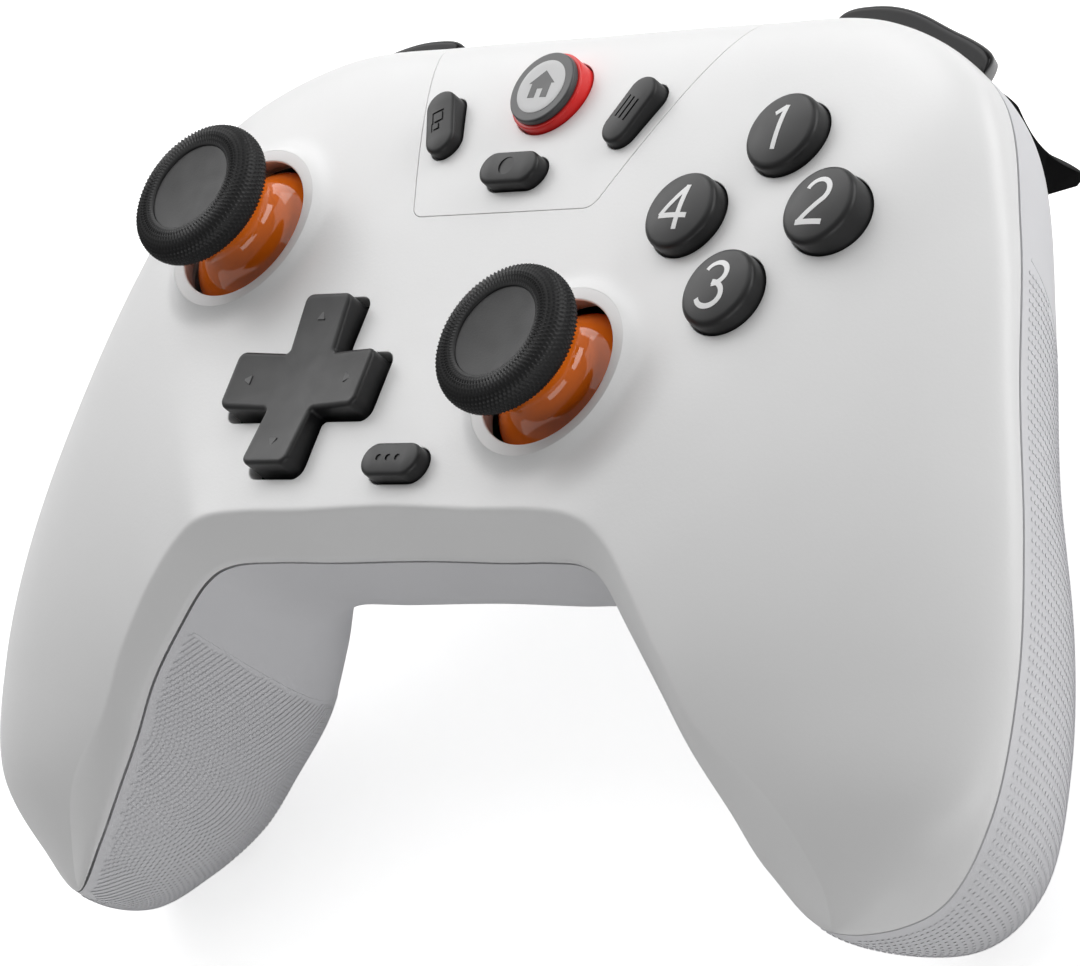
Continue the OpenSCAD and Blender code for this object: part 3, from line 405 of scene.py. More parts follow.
def revolved(name, profile, centre, steps=96):
    """Solid of revolution about an upright axis; the profile runs from axis to axis as (radius, height)."""
    profile = np.asarray(profile, float)
    turn = np.linspace(0, 2 * math.pi, steps, endpoint=False)
    on_axis = profile[:, 0] < 1e-9
    points, rings = [], []
    for (r, z), single in zip(profile, on_axis):
        if single:
            rings.append([len(points)] * steps)
            points.append((centre[0], centre[1], z))
        else:
            rings.append(list(range(len(points), len(points) + steps)))
            points += [(centre[0] + r * math.cos(a), centre[1] + r * math.sin(a), z) for a in turn]
    faces = []
    pairs = list(zip(rings, rings[1:]))
    if not on_axis[0]:
        pairs.append((rings[-1], rings[0]))
    for low, high in pairs:
        for k in range(steps):
            n = (k + 1) % steps
            face = list(dict.fromkeys([low[k], low[n], high[n], high[k]]))
            if len(face) > 2:
                faces.append(face)
    piece = new_object(name, points, faces)
    outward(piece)
    return piece


def filleted(corners, steps=6):
    """Outline from (x, y, radius) corners, each rounded with an arc."""
    outline = []
    count = len(corners)
    for k in range(count):
        x, y, radius = corners[k]
        p = np.array([x, y])
        before = np.array(corners[k - 1][:2]) - p
        after = np.array(corners[(k + 1) % count][:2]) - p
        if radius <= 0:
            outline.append(p)
            continue
        before /= np.linalg.norm(before)
        after /= np.linalg.norm(after)
        half = math.acos(np.clip(before @ after, -1, 1)) / 2
        middle = p + (before + after) / np.linalg.norm(before + after) * radius / math.sin(half)
        start = p + before * radius / math.tan(half) - middle
        end = p + after * radius / math.tan(half) - middle
        a = math.atan2(start[1], start[0])
        sweep = (math.atan2(end[1], end[0]) - a + math.pi) % (2 * math.pi) - math.pi
        outline += [middle + radius * np.array([math.cos(a + sweep * f), math.sin(a + sweep * f)])
                    for f in np.linspace(0, 1, steps + 1)]
    return np.array(outline)


def grown(outline, by):
    """Outline moved outwards; the outline runs anticlockwise."""
    before = outline - np.roll(outline, 1, axis=0)
    after = np.roll(outline, -1, axis=0) - outline
    tangent = unit(unit(before) + unit(after))
    return outline + by * np.stack([tangent[:, 1], -tangent[:, 0]], 1)


def circle(centre, radius, steps=72):
    turn = np.linspace(0, 2 * math.pi, steps, endpoint=False)
    return np.array(centre) + radius * np.stack([np.cos(turn), np.sin(turn)], 1)


def turned(points, degrees):
    a = math.radians(degrees)
    return points @ np.array([[math.cos(a), math.sin(a)], [-math.sin(a), math.cos(a)]])


def capsule(centre, length, width, degrees, steps=24):
    """Outline of a bar with round ends."""
    turn = np.linspace(-math.pi / 2, math.pi / 2, steps)
    end = np.stack([np.cos(turn), np.sin(turn)], 1) * width / 2 + [(length - width) / 2, 0]
    return np.array(centre) + turned(np.concatenate([end, -end]), degrees)


def cross(centre, arm, width, corner, waist):
    """Outline of a plus sign with rounded arm ends and rounded inner corners."""
    half = width / 2
    corners = []
    for quarter in range(4):
        arms = np.array([[arm, -half], [arm, half], [half, half]])
        corners += [(*p, r) for p, r in zip(turned(arms, 90 * quarter), (corner, corner, waist))]
    return np.array(centre) + filleted(corners, 8)


def arc(middle, radii, start, end, steps=25):
    """Points of an elliptic arc, angles in degrees."""
    turn = np.radians(np.linspace(start, end, steps))
    return np.column_stack([middle[0] + radii[0] * np.cos(turn), middle[1] + radii[1] * np.sin(turn)])


def round_corner(r, z, radius, start, end, steps):
    """Points of a circular arc in a profile of (radius, height), angles in degrees."""
    return arc((r, z), (radius, radius), start, end, steps).tolist()


def rounded_edge(radius, top, end, steps):
    """Rows of (growth, height) for an upper edge that rounds inwards, up to an angle in degrees."""
    turn = np.radians(np.linspace(0, end, steps))
    return [(-radius * (1 - math.cos(a)), top - radius * (1 - math.sin(a))) for a in turn]


def layer(flat, height):
    """Outline lifted to a height, or to one height for each point."""
    return np.column_stack([flat, np.broadcast_to(height, len(flat))])


def stacked(name, outline_at, rows):
    """Solid through outlines at (growth, height); height may be a function of the outline's points."""
    layers = []
    for growth, height in rows:
        flat = outline_at(growth)
        layers.append(layer(flat, height(flat) if callable(height) else height))
    return loft(name, layers)


def boolean(piece, other, operation="DIFFERENCE"):
    """Cuts or joins with another solid, which is used up."""
    step = piece.modifiers.new("step", "BOOLEAN")
    step.object = other
    step.operation = operation
    step.solver = "MANIFOLD"
    depsgraph = bpy.context.evaluated_depsgraph_get()
    made = bpy.data.meshes.new_from_object(piece.evaluated_get(depsgraph))
    piece.modifiers.clear()
    old = piece.data
    piece.data = made
    made.name = piece.name
    bpy.data.meshes.remove(old)
    bpy.data.objects.remove(other)
    return piece


def smoothed(piece, degrees):
    """Smooth shading with sharp edges above an angle."""
    mesh = piece.data
    mesh.polygons.foreach_set("use_smooth", np.ones(len(mesh.polygons), bool))
    mesh.set_sharp_from_angle(angle=math.radians(degrees))


def finished(piece, slot, body, *nodes, finish=None, degrees=32):
    """Shading, finish and place of one piece; the finish is its slot's unless another is named."""
    smoothed(piece, degrees)
    piece.data.materials.clear()
    piece.data.materials.append(finishes[finish or slot])
    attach(piece, body)
    if nodes:
        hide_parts(*nodes)


RAY_START = 60.0
MOUTH_TURNS = (0, 25, 50, 75)
MOUTH_PAST = 0.1


def surface_of(piece):
    """Gives the height of a piece's upper side at points of the face."""
    work = bmesh.new()
    work.from_mesh(piece.data)
    tree = BVHTree.FromBMesh(work)
    work.free()

    def height(flat):
        heights = []
        for x, y in flat:
            hit = tree.ray_cast(Vector(seated((x, y, RAY_START))), Vector((0, 0, -1)))[0]
            heights.append(hit.z / MM - seat[2] if hit else OUTER_SEAM[0][2])
        return np.array(heights)

    return height


def hole(name, outline_at, surface, depth, flare):
    """Cutter for a hole whose mouth is rounded along the surface; a negative flare rounds a plug instead."""
    reach = abs(flare)
    rows = [(0, lambda flat: surface(flat) - depth)]
    for a in np.radians(MOUTH_TURNS):
        drop = reach * (1 - math.sin(a))
        rows.append((flare * (1 - math.cos(a)), lambda flat, d=drop: surface(flat) - d))
    last = rows[-1][0] * (1 + MOUTH_PAST)
    rows.append((last, lambda flat: surface(flat) + MOUTH_PAST * reach))
    rows.append((last, lambda flat: surface(flat) + depth))
    return stacked(name, outline_at, rows)


def moved_copy(piece, offset=(0, 0, 0)):
    """Copy of a solid, moved by an offset in millimetres."""
    copy = bpy.data.objects.new(piece.name + "_copy", piece.data.copy())
    copy.data.transform(Matrix.Translation(Vector(offset) * MM))
    bpy.context.scene.collection.objects.link(copy)
    return copy


def prism(name, outline, low, high):
    return loft(name, [layer(outline, z) for z in (low, high)])


def mirrored(points):
    """Outline on the other side of the pad, still anticlockwise."""
    return (points * [-1, 1])[::-1]


def anticlockwise(outline):
    x, y = outline.T
    area = np.sum(x * np.roll(y, -1) - np.roll(x, -1) * y)
    return outline if area > 0 else outline[::-1]


# Finishes; noise scales are in waves to a metre
NOISE_LOW = 0.3
NOISE_HIGH = 0.7
MOTTLE_SCALE = 60
GLOSS_SCALE = 350
GLOSS_SPREAD = 0.08
METAL_MOTTLE = 0.06
METAL_MOTTLE_SCALE = 200
METAL_GLOSS_SCALE = 900
METAL_GLOSS_SPREAD = 0.2


def new_material(name, colour, roughness, **sockets):
    """Principled finish; the sockets are constants of the shader."""
    material = bpy.data.materials.new(name)
    material.use_nodes = True
    shader = material.node_tree.nodes["Principled BSDF"]
    shader.inputs["Base Color"].default_value = (*colour, 1)
    shader.inputs["Roughness"].default_value = roughness
    for socket, value in sockets.items():
        shader.inputs[socket.replace("_", " ")].default_value = value
    return material


def node_of(material, kind, **settings):
    node = material.node_tree.nodes.new(kind)
    for name, value in settings.items():
        setattr(node, name, value)
    return node


def link(material, source, target):
    material.node_tree.links.new(source, target)


def shader_of(material):
    return material.node_tree.nodes["Principled BSDF"]


def noise(material, scale, detail=3.0):
    """Noise over the piece's own metres; the scale is in waves to a metre."""
    place = node_of(material, "ShaderNodeTexCoord")
    texture = node_of(material, "ShaderNodeTexNoise")
    texture.inputs["Scale"].default_value = scale
    texture.inputs["Detail"].default_value = detail
    link(material, place.outputs["Object"], texture.inputs["Vector"])
    return texture.outputs["Fac"]


def spread(material, value, low, high):
    """Maps a noise value to a narrow range."""
    scale = node_of(material, "ShaderNodeMapRange")
    scale.inputs["From Min"].default_value = NOISE_LOW
    scale.inputs["From Max"].default_value = NOISE_HIGH
    scale.inputs["To Min"].default_value = low
    scale.inputs["To Max"].default_value = high
    link(material, value, scale.inputs["Value"])
    return scale.outputs["Result"]


def mottled(material, colour, amount, scale):
    """Base colour that varies a little over the surface."""
    mix = node_of(material, "ShaderNodeMix", data_type="RGBA")
    mix.inputs["A"].default_value = (*[c * (1 - amount) for c in colour], 1)
    mix.inputs["B"].default_value = (*[min(c * (1 + amount), 1) for c in colour], 1)
    link(material, noise(material, scale), mix.inputs["Factor"])
    link(material, mix.outputs["Result"], shader_of(material).inputs["Base Color"])


def grained(material, scale, distance, strength=0.5):
    """Fine moulded grain in the surface."""
    bump = node_of(material, "ShaderNodeBump")
    bump.inputs["Strength"].default_value = strength
    bump.inputs["Distance"].default_value = distance
    link(material, noise(material, scale, 2.0), bump.inputs["Height"])
    link(material, bump.outputs["Normal"], shader_of(material).inputs["Normal"])
    return bump


def uneven_gloss(material, roughness, scale, amount):
    """Roughness that varies a little over the surface."""
    low, high = roughness * (1 - amount), roughness * (1 + amount)
    rough = spread(material, noise(material, scale), low, high)
    link(material, rough, shader_of(material).inputs["Roughness"])


def plastic(name, colour, roughness, grain=2500, depth=0.00002, mottle=0.02, **sockets):
    """Moulded plastic: a little uneven in colour and gloss, with a fine grain."""
    material = new_material(name, colour, roughness, **sockets)
    mottled(material, colour, mottle, MOTTLE_SCALE)
    uneven_gloss(material, roughness, GLOSS_SCALE, GLOSS_SPREAD)
    grained(material, grain, depth)
    return material


def metal(name, colour, roughness):
    """Bare metal with fine drawn streaks."""
    material = new_material(name, colour, roughness, Metallic=1.0)
    mottled(material, colour, METAL_MOTTLE, METAL_MOTTLE_SCALE)
    uneven_gloss(material, roughness, METAL_GLOSS_SCALE, METAL_GLOSS_SPREAD)
    return material


# Colour, roughness and whatever else differs from plain plastic
PLASTICS = {
    "front_white": ((0.80, 0.80, 0.80), 0.36, {}),
    "panel_white": ((0.80, 0.80, 0.80), 0.34, {}),
    "back_grey": ((0.70, 0.70, 0.72), 0.48, {}),
    "ring_grey": ((0.74, 0.74, 0.74), 0.40, {}),
    "cap_rubber": ((0.007, 0.007, 0.0075), 0.44, {"grain": 4000, "Specular_IOR_Level": 0.3}),
    "dome_orange": ((0.72, 0.145, 0.007), 0.07, {"depth": 0.000001}),
    "button_black": ((0.011, 0.011, 0.0115), 0.4, {"depth": 0.000004, "Specular_IOR_Level": 0.35}),
    "bumper_black": ((0.004, 0.004, 0.0045), 0.18, {"depth": 0.000002, "Specular_IOR_Level": 0.13}),
    "trigger_black": ((0.002, 0.002, 0.0022), 0.6, {"depth": 0.000004, "Specular_IOR_Level": 0.04}),
    "home_dark": ((0.05, 0.05, 0.052), 0.34, {"depth": 0.000006}),
    "home_red": ((0.78, 0.012, 0.010), 0.30, {"depth": 0.000006}),
    "inner_plastic": ((0.09, 0.09, 0.095), 0.45, {}),
    "pad_rubber": ((0.16, 0.17, 0.18), 0.6, {}),
    "board_green": ((0.02, 0.14, 0.06), 0.35, {"mottle": 0.15}),
    "battery_wrap": ((0.05, 0.12, 0.30), 0.30, {}),
    "mark_white": ((0.78, 0.78, 0.78), 0.42, {}),
    "home_light": ((0.58, 0.58, 0.585), 0.38, {}),
    "mark_dark": ((0.035, 0.035, 0.036), 0.45, {}),
}
METALS = {
    "steel": ((0.62, 0.62, 0.63), 0.28),
    "socket_steel": ((0.55, 0.55, 0.56), 0.22),
}
finishes = {name: plastic(name, colour, rough, **more) for name, (colour, rough, more) in PLASTICS.items()}
finishes |= {name: metal(name, colour, rough) for name, (colour, rough) in METALS.items()}


# Shells
STATION_COUNT = 220
TIP_COUNT = 44
FRONT_COLUMNS = (150, 30)
BACK_COLUMNS = (52, 52)
VOID_STATIONS = (60, 8)
VOID_FRONT_COLUMNS = (22, 10)
VOID_BACK_COLUMNS = (22, 22)
FACE_SIDE_FALL = 0.35
FACE_SIDE_AT = 40
FACE_TOP_FALL = 1.9
FACE_TOP_FROM = 5
FACE_TOP_OVER = 30
FACE_ABOVE = -8
COLLAR_R = STICK_HOLE_R + RING_W
COLLAR_FADE = 3.6
COLLAR_LIMIT = 1.2


def face_z(x, y):
    """Height of the face, which falls a little to the sides and towards the bumpers."""
    side_fall = FACE_SIDE_FALL * (x / FACE_SIDE_AT) ** 2
    top_fall = FACE_TOP_FALL * (max(y - FACE_TOP_FROM, 0) / FACE_TOP_OVER) ** 2
    return -side_fall - top_fall


def with_collars(rows):
    """Lifts the face to a collar that slopes up to the ring round each stick."""
    for x, y in STICKS.values():
        away = np.hypot(rows[..., 0] - x, rows[..., 1] - y)
        blend = np.clip((COLLAR_R + COLLAR_FADE - away) / COLLAR_FADE, 0, COLLAR_LIMIT) ** 3
        top = face_z(x, y) + RING_UP
        on_face = rows[..., 2] > FACE_ABOVE
        rows[..., 2] += np.where(on_face, blend * (top - rows[..., 2]), 0)
    return rows


half_stations = stations(SHELL_END, STATION_COUNT, TIP_COUNT)
front_rows = with_collars(both_halves(resampled(front_sections(half_stations), FRONT_COLUMNS)))
back_rows = both_halves(resampled(back_sections(half_stations), BACK_COLUMNS))
void_stations = stations(VOID_END, *VOID_STATIONS)
void_front = resampled(front_sections(void_stations, WALL), VOID_FRONT_COLUMNS)
void_back = resampled(back_sections(void_stations, WALL), VOID_BACK_COLUMNS)
void_rows = both_halves(np.concatenate([void_front, void_back[:, -2:0:-1]], 1))

MOUTH = 0.12
SLOT = 0.2
HOLE_DEPTH = 9.0
PANEL_MOUTH = 0.07
PANEL_DEPTH = 20.0
PANEL_BACK_SHARE = 0.8
PANEL_CORNER_STEPS = 10
PANEL_SIDE_STEPS = 60
PANEL_LOW_STEPS = 40
BACKING_T = 1.5
front_solid = loft("front_solid", front_rows)
surface = surface_of(front_solid)


def panel_corner(width, y, radius, start, end):
    """Round corner on the right side of the panel."""
    turn = np.linspace(start, end, PANEL_CORNER_STEPS)
    return np.column_stack([width - PANEL_R + radius * np.cos(turn), y + radius * np.sin(turn)])


def panel_outline(growth):
    """Outline of the centre panel, narrow below and wide at the top, with leaning sides and round corners."""
    side_turn = math.atan2(PANEL_LOW_W - PANEL_TOP_W, PANEL_HIGH_Y - PANEL_LOW_Y)
    radius = PANEL_R + growth
    low = panel_corner(PANEL_LOW_W, PANEL_LOW_Y, radius, -math.pi / 2, side_turn)
    high = panel_corner(PANEL_TOP_W, PANEL_HIGH_Y, radius, side_turn, math.pi / 2)
    side = np.linspace(low[-1], high[0], PANEL_SIDE_STEPS)[1:-1]
    right = np.concatenate([low, side, high])
    low_edge = np.linspace(right[0] * [-1, 1], right[0], PANEL_LOW_STEPS)[1:-1]
    return np.concatenate([right, mirrored(right), low_edge])


def sunk(depth):
    """The body moved down and a little back, to cut the underside of the panel."""
    return moved_copy(front_solid, (0, -PANEL_BACK_SHARE * depth, -depth))


BUTTON_TURNS = (90, 0, -90, 180)
STICK_HOLE_ROOM = 0.005
STICK_MOUTH_SHARE = 1 / 40
STICK_STEPS = 160
DPAD_HOLE_CORNER = 1.6
DPAD_HOLE_WAIST = 0.8


def button_middle(k):
    a = math.radians(BUTTON_TURNS[k])
    return (FACE_MIDDLE[0] + FACE_PITCH * math.cos(a), FACE_MIDDLE[1] + FACE_PITCH * math.sin(a))


def dpad_outline(growth, corner, waist):
    return cross(DPAD, DPAD_ARM + growth, DPAD_ARM_W + 2 * growth, corner, waist)


def pill_outline(name, growth, steps=24):
    middle, lean = PILLS[name]
    return capsule(middle, PILL_L + 2 * growth, PILL_W + 2 * growth, lean, steps)


def stick_hole(middle, growth):
    radius = COLLAR_R + STICK_HOLE_ROOM + growth * STICK_MOUTH_SHARE
    return circle(middle, radius, STICK_STEPS)


def hole_outlines():
    """Outline at a growth of every hole in the face, by the piece that sits in it."""
    holes = {}
    for k in range(4):
        holes[f"face_button_{k + 1}"] = lambda g, c=button_middle(k): circle(c, FACE_R + SLOT + g)
    for side, middle in STICKS.items():
        holes[f"{side}_stick"] = lambda g, c=middle: stick_hole(c, g)
    holes["dpad"] = lambda g: dpad_outline(DPAD_ROOM + g, DPAD_HOLE_CORNER + g, DPAD_HOLE_WAIST - g)
    for name in PILLS:
        holes[name] = lambda g, n=name: pill_outline(n, SLOT + g)
    holes["home"] = lambda g: circle(HOME, HOME_R + HOME_RING_W + SLOT + g)
    return holes


PANEL_HOLES = ("view", "menu", "share", "home")


def panel_block(name, growth):
    """Block over the panel's place with a rounded upper edge."""
    return hole(name, lambda g: panel_outline(growth + g), surface, PANEL_DEPTH, PANEL_MOUTH)


def front_shell():
    shell = moved_copy(front_solid)
    boolean(shell, loft("void", void_rows))
    recess = panel_block("recess", PANEL_GAP)
    boolean(recess, sunk(PANEL_T + PANEL_GAP))
    boolean(shell, recess)
    backing = panel_block("backing", PANEL_GAP + BACKING_T)
    boolean(backing, sunk(PANEL_T + PANEL_GAP), "INTERSECT")
    boolean(backing, sunk(PANEL_T + PANEL_GAP + BACKING_T))
    boolean(backing, moved_copy(front_solid), "INTERSECT")
    boolean(shell, backing, "UNION")
    for name, outline in hole_outlines().items():
        boolean(shell, hole(name + "_hole", outline, surface, HOLE_DEPTH, MOUTH))
    shell.name = "front_shell_skin"
    finished(shell, "front_white", "body", "front_shell")


def centre_panel():
    panel = hole("centre_panel_skin", panel_outline, surface, PANEL_DEPTH, -PANEL_MOUTH)
    boolean(panel, moved_copy(front_solid), "INTERSECT")
    boolean(panel, sunk(PANEL_T))
    outlines = hole_outlines()
    for name in PANEL_HOLES:
        boolean(panel, hole(name + "_hole", outlines[name], surface, HOLE_DEPTH, MOUTH))
    finished(panel, "panel_white", "body", "centre_panel")


EDGE_STEP = 0.02
WINDOW_STEPS = 40
BUMPER_END_ROOM = 0.04
BUMPER_FRONT_ROOM = 3
BUMPER_BACK_ROOM = 1.85
BUMPER_WINDOW_Z = (BUMPER_TOP - BUMPER_H - GAP, 5.0)
TRIGGER_END_ROOM = 0.05
TRIGGER_FRONT_ROOM = 15
TRIGGER_WINDOW_Z = (-90.0, -TRIGGER_LOW, BUMPER_TOP - BUMPER_H)


def edge(u, out):
    """Points beside the top edge of the body, this far out of it."""
    u = np.atleast_1d(np.asarray(u, float))
    d = unit((outer(u + EDGE_STEP) - outer(u - EDGE_STEP))[:, :2])
    return outer(u)[:, :2] + np.stack([-d[:, 1], d[:, 0]], 1) * np.atleast_1d(out)[:, None]


def window_steps(span, room):
    return np.linspace(span[0] - room, span[1] + room, WINDOW_STEPS)


def bumper_window():
    u = window_steps(BUMPER_SPAN, BUMPER_END_ROOM)
    front = edge(u, BUMPER_OUT + BUMPER_FRONT_ROOM)
    back = edge(u[::-1], -BUMPER_IN - BUMPER_BACK_ROOM)
    return np.concatenate([front, back])


def trigger_end(z):
    """Station of the trigger's outer end at a height; the trigger is wider towards its top."""
    return TRIGGER_SPAN[1] + TRIGGER_LEAN * np.clip((z + TRIGGER_LOW) / (TRIGGER_TOP + TRIGGER_LOW), 0, 1)


def trigger_window(z):
    line = outer(window_steps((TRIGGER_SPAN[0], trigger_end(z)), TRIGGER_END_ROOM))[:, :2]
    back = line - [0, TRIGGER_DEPTH + TRIGGER_ROOM]
    return np.concatenate([line + [0, TRIGGER_FRONT_ROOM], back[::-1]])


def window(layers, flip):
    """Cutter through (outline, height) pairs, for the right or the left side."""
    rows = []
    for outline, z in layers:
        outline = anticlockwise(mirrored(outline) if flip else outline)
        rows.append(layer(outline, z))
    return loft("window", rows)


def upright(name, outline, low, high):
    """Prism along y of an outline drawn in x and z."""
    x, z = outline.T
    return loft(name, [np.column_stack([x, np.full(len(x), y), z]) for y in (low, high)])


POST_R = 3.4
POST_UP = 8.8
POST_LOW = -70.0
SCREW_HEAD_ROOM = 0.2
SCREW_HOLE_R = 1.35
SCREW_HOLE_TOP = 20.0
SOCKET_HOLE_Y = (30.0, 60.0)


def back_shell():
    solid = loft("back_solid", back_rows)
    shell = moved_copy(solid)
    boolean(shell, loft("void", void_rows))
    spots = [((x * s, y), head) for (x, y), head in SCREWS for s in (1, -1)]
    for middle, head in spots:
        post = prism("post", circle(middle, POST_R, 48), POST_LOW, head + POST_UP)
        boolean(post, moved_copy(solid), "INTERSECT")
        boolean(shell, post, "UNION")
    bpy.data.objects.remove(solid)
    for flip in (False, True):
        boolean(shell, window([(bumper_window(), z) for z in BUMPER_WINDOW_Z], flip))
        boolean(shell, window([(trigger_window(z), z) for z in TRIGGER_WINDOW_Z], flip))
    for middle, head in spots:
        boolean(shell, prism("head_room", circle(middle, SCREW_HEAD_R + SCREW_HEAD_ROOM, 48), POST_LOW, head))
        boolean(shell, prism("screw_hole", circle(middle, SCREW_HOLE_R, 32), head - 1, SCREW_HOLE_TOP))
    socket = capsule((0, USB[1]), USB_W + 2 * GAP, USB_H + 2 * GAP, 0)
    boolean(shell, upright("socket_hole", socket, *SOCKET_HOLE_Y))
    shell.name = "back_shell_skin"
    finished(shell, "back_grey", "body", "back_shell")


front_shell()
centre_panel()
back_shell()
bpy.data.objects.remove(front_solid)


# Fine raised dots on the grips, behind a fine ridge
DOT_PITCH = 0.75
DOT_HALF = 0.22
DOT_H = 0.13
DOT_SINK = 0.1
DOT_MARGIN = 1.5
DOT_START = 4.1
DOT_SLANT = 0.9
DOT_END = 9.8
DOT_RIDGE_ROOM = 0.05
DOT_SIDE_STEP = 0.1
SCREW_CLEAR = 4.0
GRIP_COLUMNS = (120, 120)
GRIP_STEP = 0.01
GRIP_STATIONS = 200
ROUGH_COLUMNS = 40
RIDGE_HALF = 0.22
RIDGE_H = 0.13
RIDGE_ENDS = (0.02, 0.98)
RIDGE_STEPS = 120
RIDGE_TURNS = (200, 150, 120, 90, 60, 30, -20)


def grip_lines(u):
    return resampled(back_sections(u), GRIP_COLUMNS)


def even_stations(pitch):
    """Stations of the grip that lie evenly along the middle of its back."""
    u = np.linspace(DOT_START, DOT_END, GRIP_STATIONS)
    lines = resampled(back_sections(u), (ROUGH_COLUMNS, ROUGH_COLUMNS))
    lengths = arc_lengths(lines[:, ROUGH_COLUMNS])
    return np.interp(np.arange(0, lengths[-1], pitch), lengths, u)


def dot_places():
    """Middles of the dots of the right grip with the directions across and along the grip."""
    u = even_stations(DOT_PITCH)
    middles, across_grip, along_grip = [], [], []
    for station, line, beside in zip(u, grip_lines(u), grip_lines(u + GRIP_STEP)):
        lengths, beside_lengths = arc_lengths(line), arc_lengths(beside)
        s = np.arange(DOT_MARGIN, lengths[-1] - DOT_MARGIN, DOT_PITCH)
        s = s[station > DOT_START + DOT_SLANT * s / lengths[-1] + DOT_RIDGE_ROOM]
        place = at_lengths(line, lengths, s)
        clear = np.hypot(*(place[:, :2] - SCREWS[0][0]).T) > SCREW_CLEAR
        before, after = (at_lengths(line, lengths, s + step) for step in (-DOT_SIDE_STEP, DOT_SIDE_STEP))
        next_place = at_lengths(beside, beside_lengths, s * beside_lengths[-1] / lengths[-1])
        middles.append(place[clear])
        across_grip.append((after - before)[clear])
        along_grip.append((next_place - place)[clear])
    return (np.concatenate(part) for part in (middles, across_grip, along_grip))


def grip_dots(side):
    """Small pyramids that stand a tenth of a millimetre out of the grip."""
    middles, aside, along = dot_places()
    aside = unit(aside)
    normal = unit(np.cross(aside, along))
    along = np.cross(normal, aside)
    signs = ((1, 1), (-1, 1), (-1, -1), (1, -1))
    corners = [DOT_HALF * (i * aside + j * along) - DOT_SINK * normal for i, j in signs]
    points = np.stack([middles + part for part in corners + [DOT_H * normal]], 1)
    if side == "left":
        points = points * MIRROR
    first = 5 * np.arange(len(points))[:, None]
    sides = [first + [k, (k + 1) % 4, 4] for k in range(4)]
    faces = np.concatenate(sides).tolist() + (first + [3, 2, 1, 0]).tolist()
    piece = new_object(f"{side}_grip_dots", points.reshape(-1, 3), faces)
    outward(piece)
    finished(piece, "back_grey", "body", degrees=10)


def at_shares(rows, shares):
    """One point of each row, at a share of the row's length."""
    points = []
    for row, part in zip(rows, shares):
        lengths = arc_lengths(row)
        points.append(at_lengths(row, lengths, [part * lengths[-1]])[0])
    return np.array(points)


def grip_ridge(side):
    """Fine ridge along the edge of the dots."""
    shares = np.linspace(*RIDGE_ENDS, RIDGE_STEPS)
    u = DOT_START + DOT_SLANT * shares
    line = at_shares(grip_lines(u), shares)
    ahead = at_shares(grip_lines(u + GRIP_STEP), shares)
    path = unit(np.gradient(line, axis=0))
    normal = unit(np.cross(path, ahead - line))
    aside = np.cross(normal, path)
    turn = np.radians(RIDGE_TURNS)
    rows = [line + RIDGE_HALF * math.cos(a) * aside + RIDGE_H * math.sin(a) * normal for a in turn]
    rows = np.stack(rows, 1)
    ridge = loft(f"{side}_grip_ridge", rows * MIRROR if side == "left" else rows)
    finished(ridge, "back_grey", "body")


for side in STICKS:
    grip_dots(side)
    grip_ridge(side)


# Thumbsticks
RING_SOFT_IN = 0.2
RING_SOFT_OUT = 0.05
RING_LIP = 0.25
RING_SKIRT = 0.3
RING_SLOPE = 0.8
KNURLS = 98
KNURL_STEPS = 4
KNURL_PITCH = 1.0
KNURL_H = 0.26
KNURL_FADE = 3
DISH_H = 0.3
DISH_STEP = 0.1
DISH_GAP = 0.08
DISH_INNER = 0.06
UNDER_AT = (0.12, 0.55, 0.94)
RIM_MIDDLE = 7.0
RIM_IN = 3.5
RIM_END = 112
RIM_HALF = 2.5
DOME_FLARE = 3.2
BOSS_LOW = PIVOT_Z + 7.4
BOSS_R = 3.2
BOSS_TURN = 18
SHAFT_ROOM = 0.03


def stick_ring(side):
    """Ring round a stick, undercut so that the dome has room below its lip."""
    middle = STICKS[side]
    top = face_z(*middle) + RING_UP
    hollow = DOME_R + GAP
    out = COLLAR_R
    skirt_r = out - RING_SKIRT
    lip = top - RING_LIP
    profile = [(out, math.sqrt(hollow ** 2 - out ** 2) + PIVOT_Z)]
    profile += round_corner(out - RING_SOFT_OUT, top - RING_SOFT_OUT, RING_SOFT_OUT, 0, 90, 5)
    profile += round_corner(STICK_HOLE_R + RING_SOFT_IN, top - RING_SOFT_IN, RING_SOFT_IN, 90, 180, 7)
    profile += [(STICK_HOLE_R, lip), (skirt_r, lip - RING_SLOPE * (skirt_r - STICK_HOLE_R))]
    profile += [(skirt_r, math.sqrt(hollow ** 2 - skirt_r ** 2) + PIVOT_Z)]
    ring = revolved(f"{side}_ring", profile, middle, STICK_STEPS)
    finished(ring, "ring_grey", "body", f"{side}_stick_ring")


def cap_profile():
    """Outside of the cap from below the rim to the edge of its dish, in even steps."""
    middle = (RIM_MIDDLE, CAP_LOW + RIM_HALF)
    high = RIM_HALF - KNURL_H
    outside = arc(middle, (CAP_R - RIM_MIDDLE - KNURL_H, high), -90, 90, 80)
    inside = arc(middle, (RIM_IN, high), 90, RIM_END, 40)
    line = np.concatenate([outside, inside[1:]])
    lengths = arc_lengths(line)
    wanted = np.linspace(0, lengths[-1], round(KNURL_STEPS * lengths[-1] / KNURL_PITCH) + 1)
    return np.column_stack([np.interp(wanted, lengths, line[:, k]) for k in range(2)])


def wave(phase):
    """Triangle wave between zero and one with a period of one."""
    return np.abs(2 * (phase % 1) - 1)


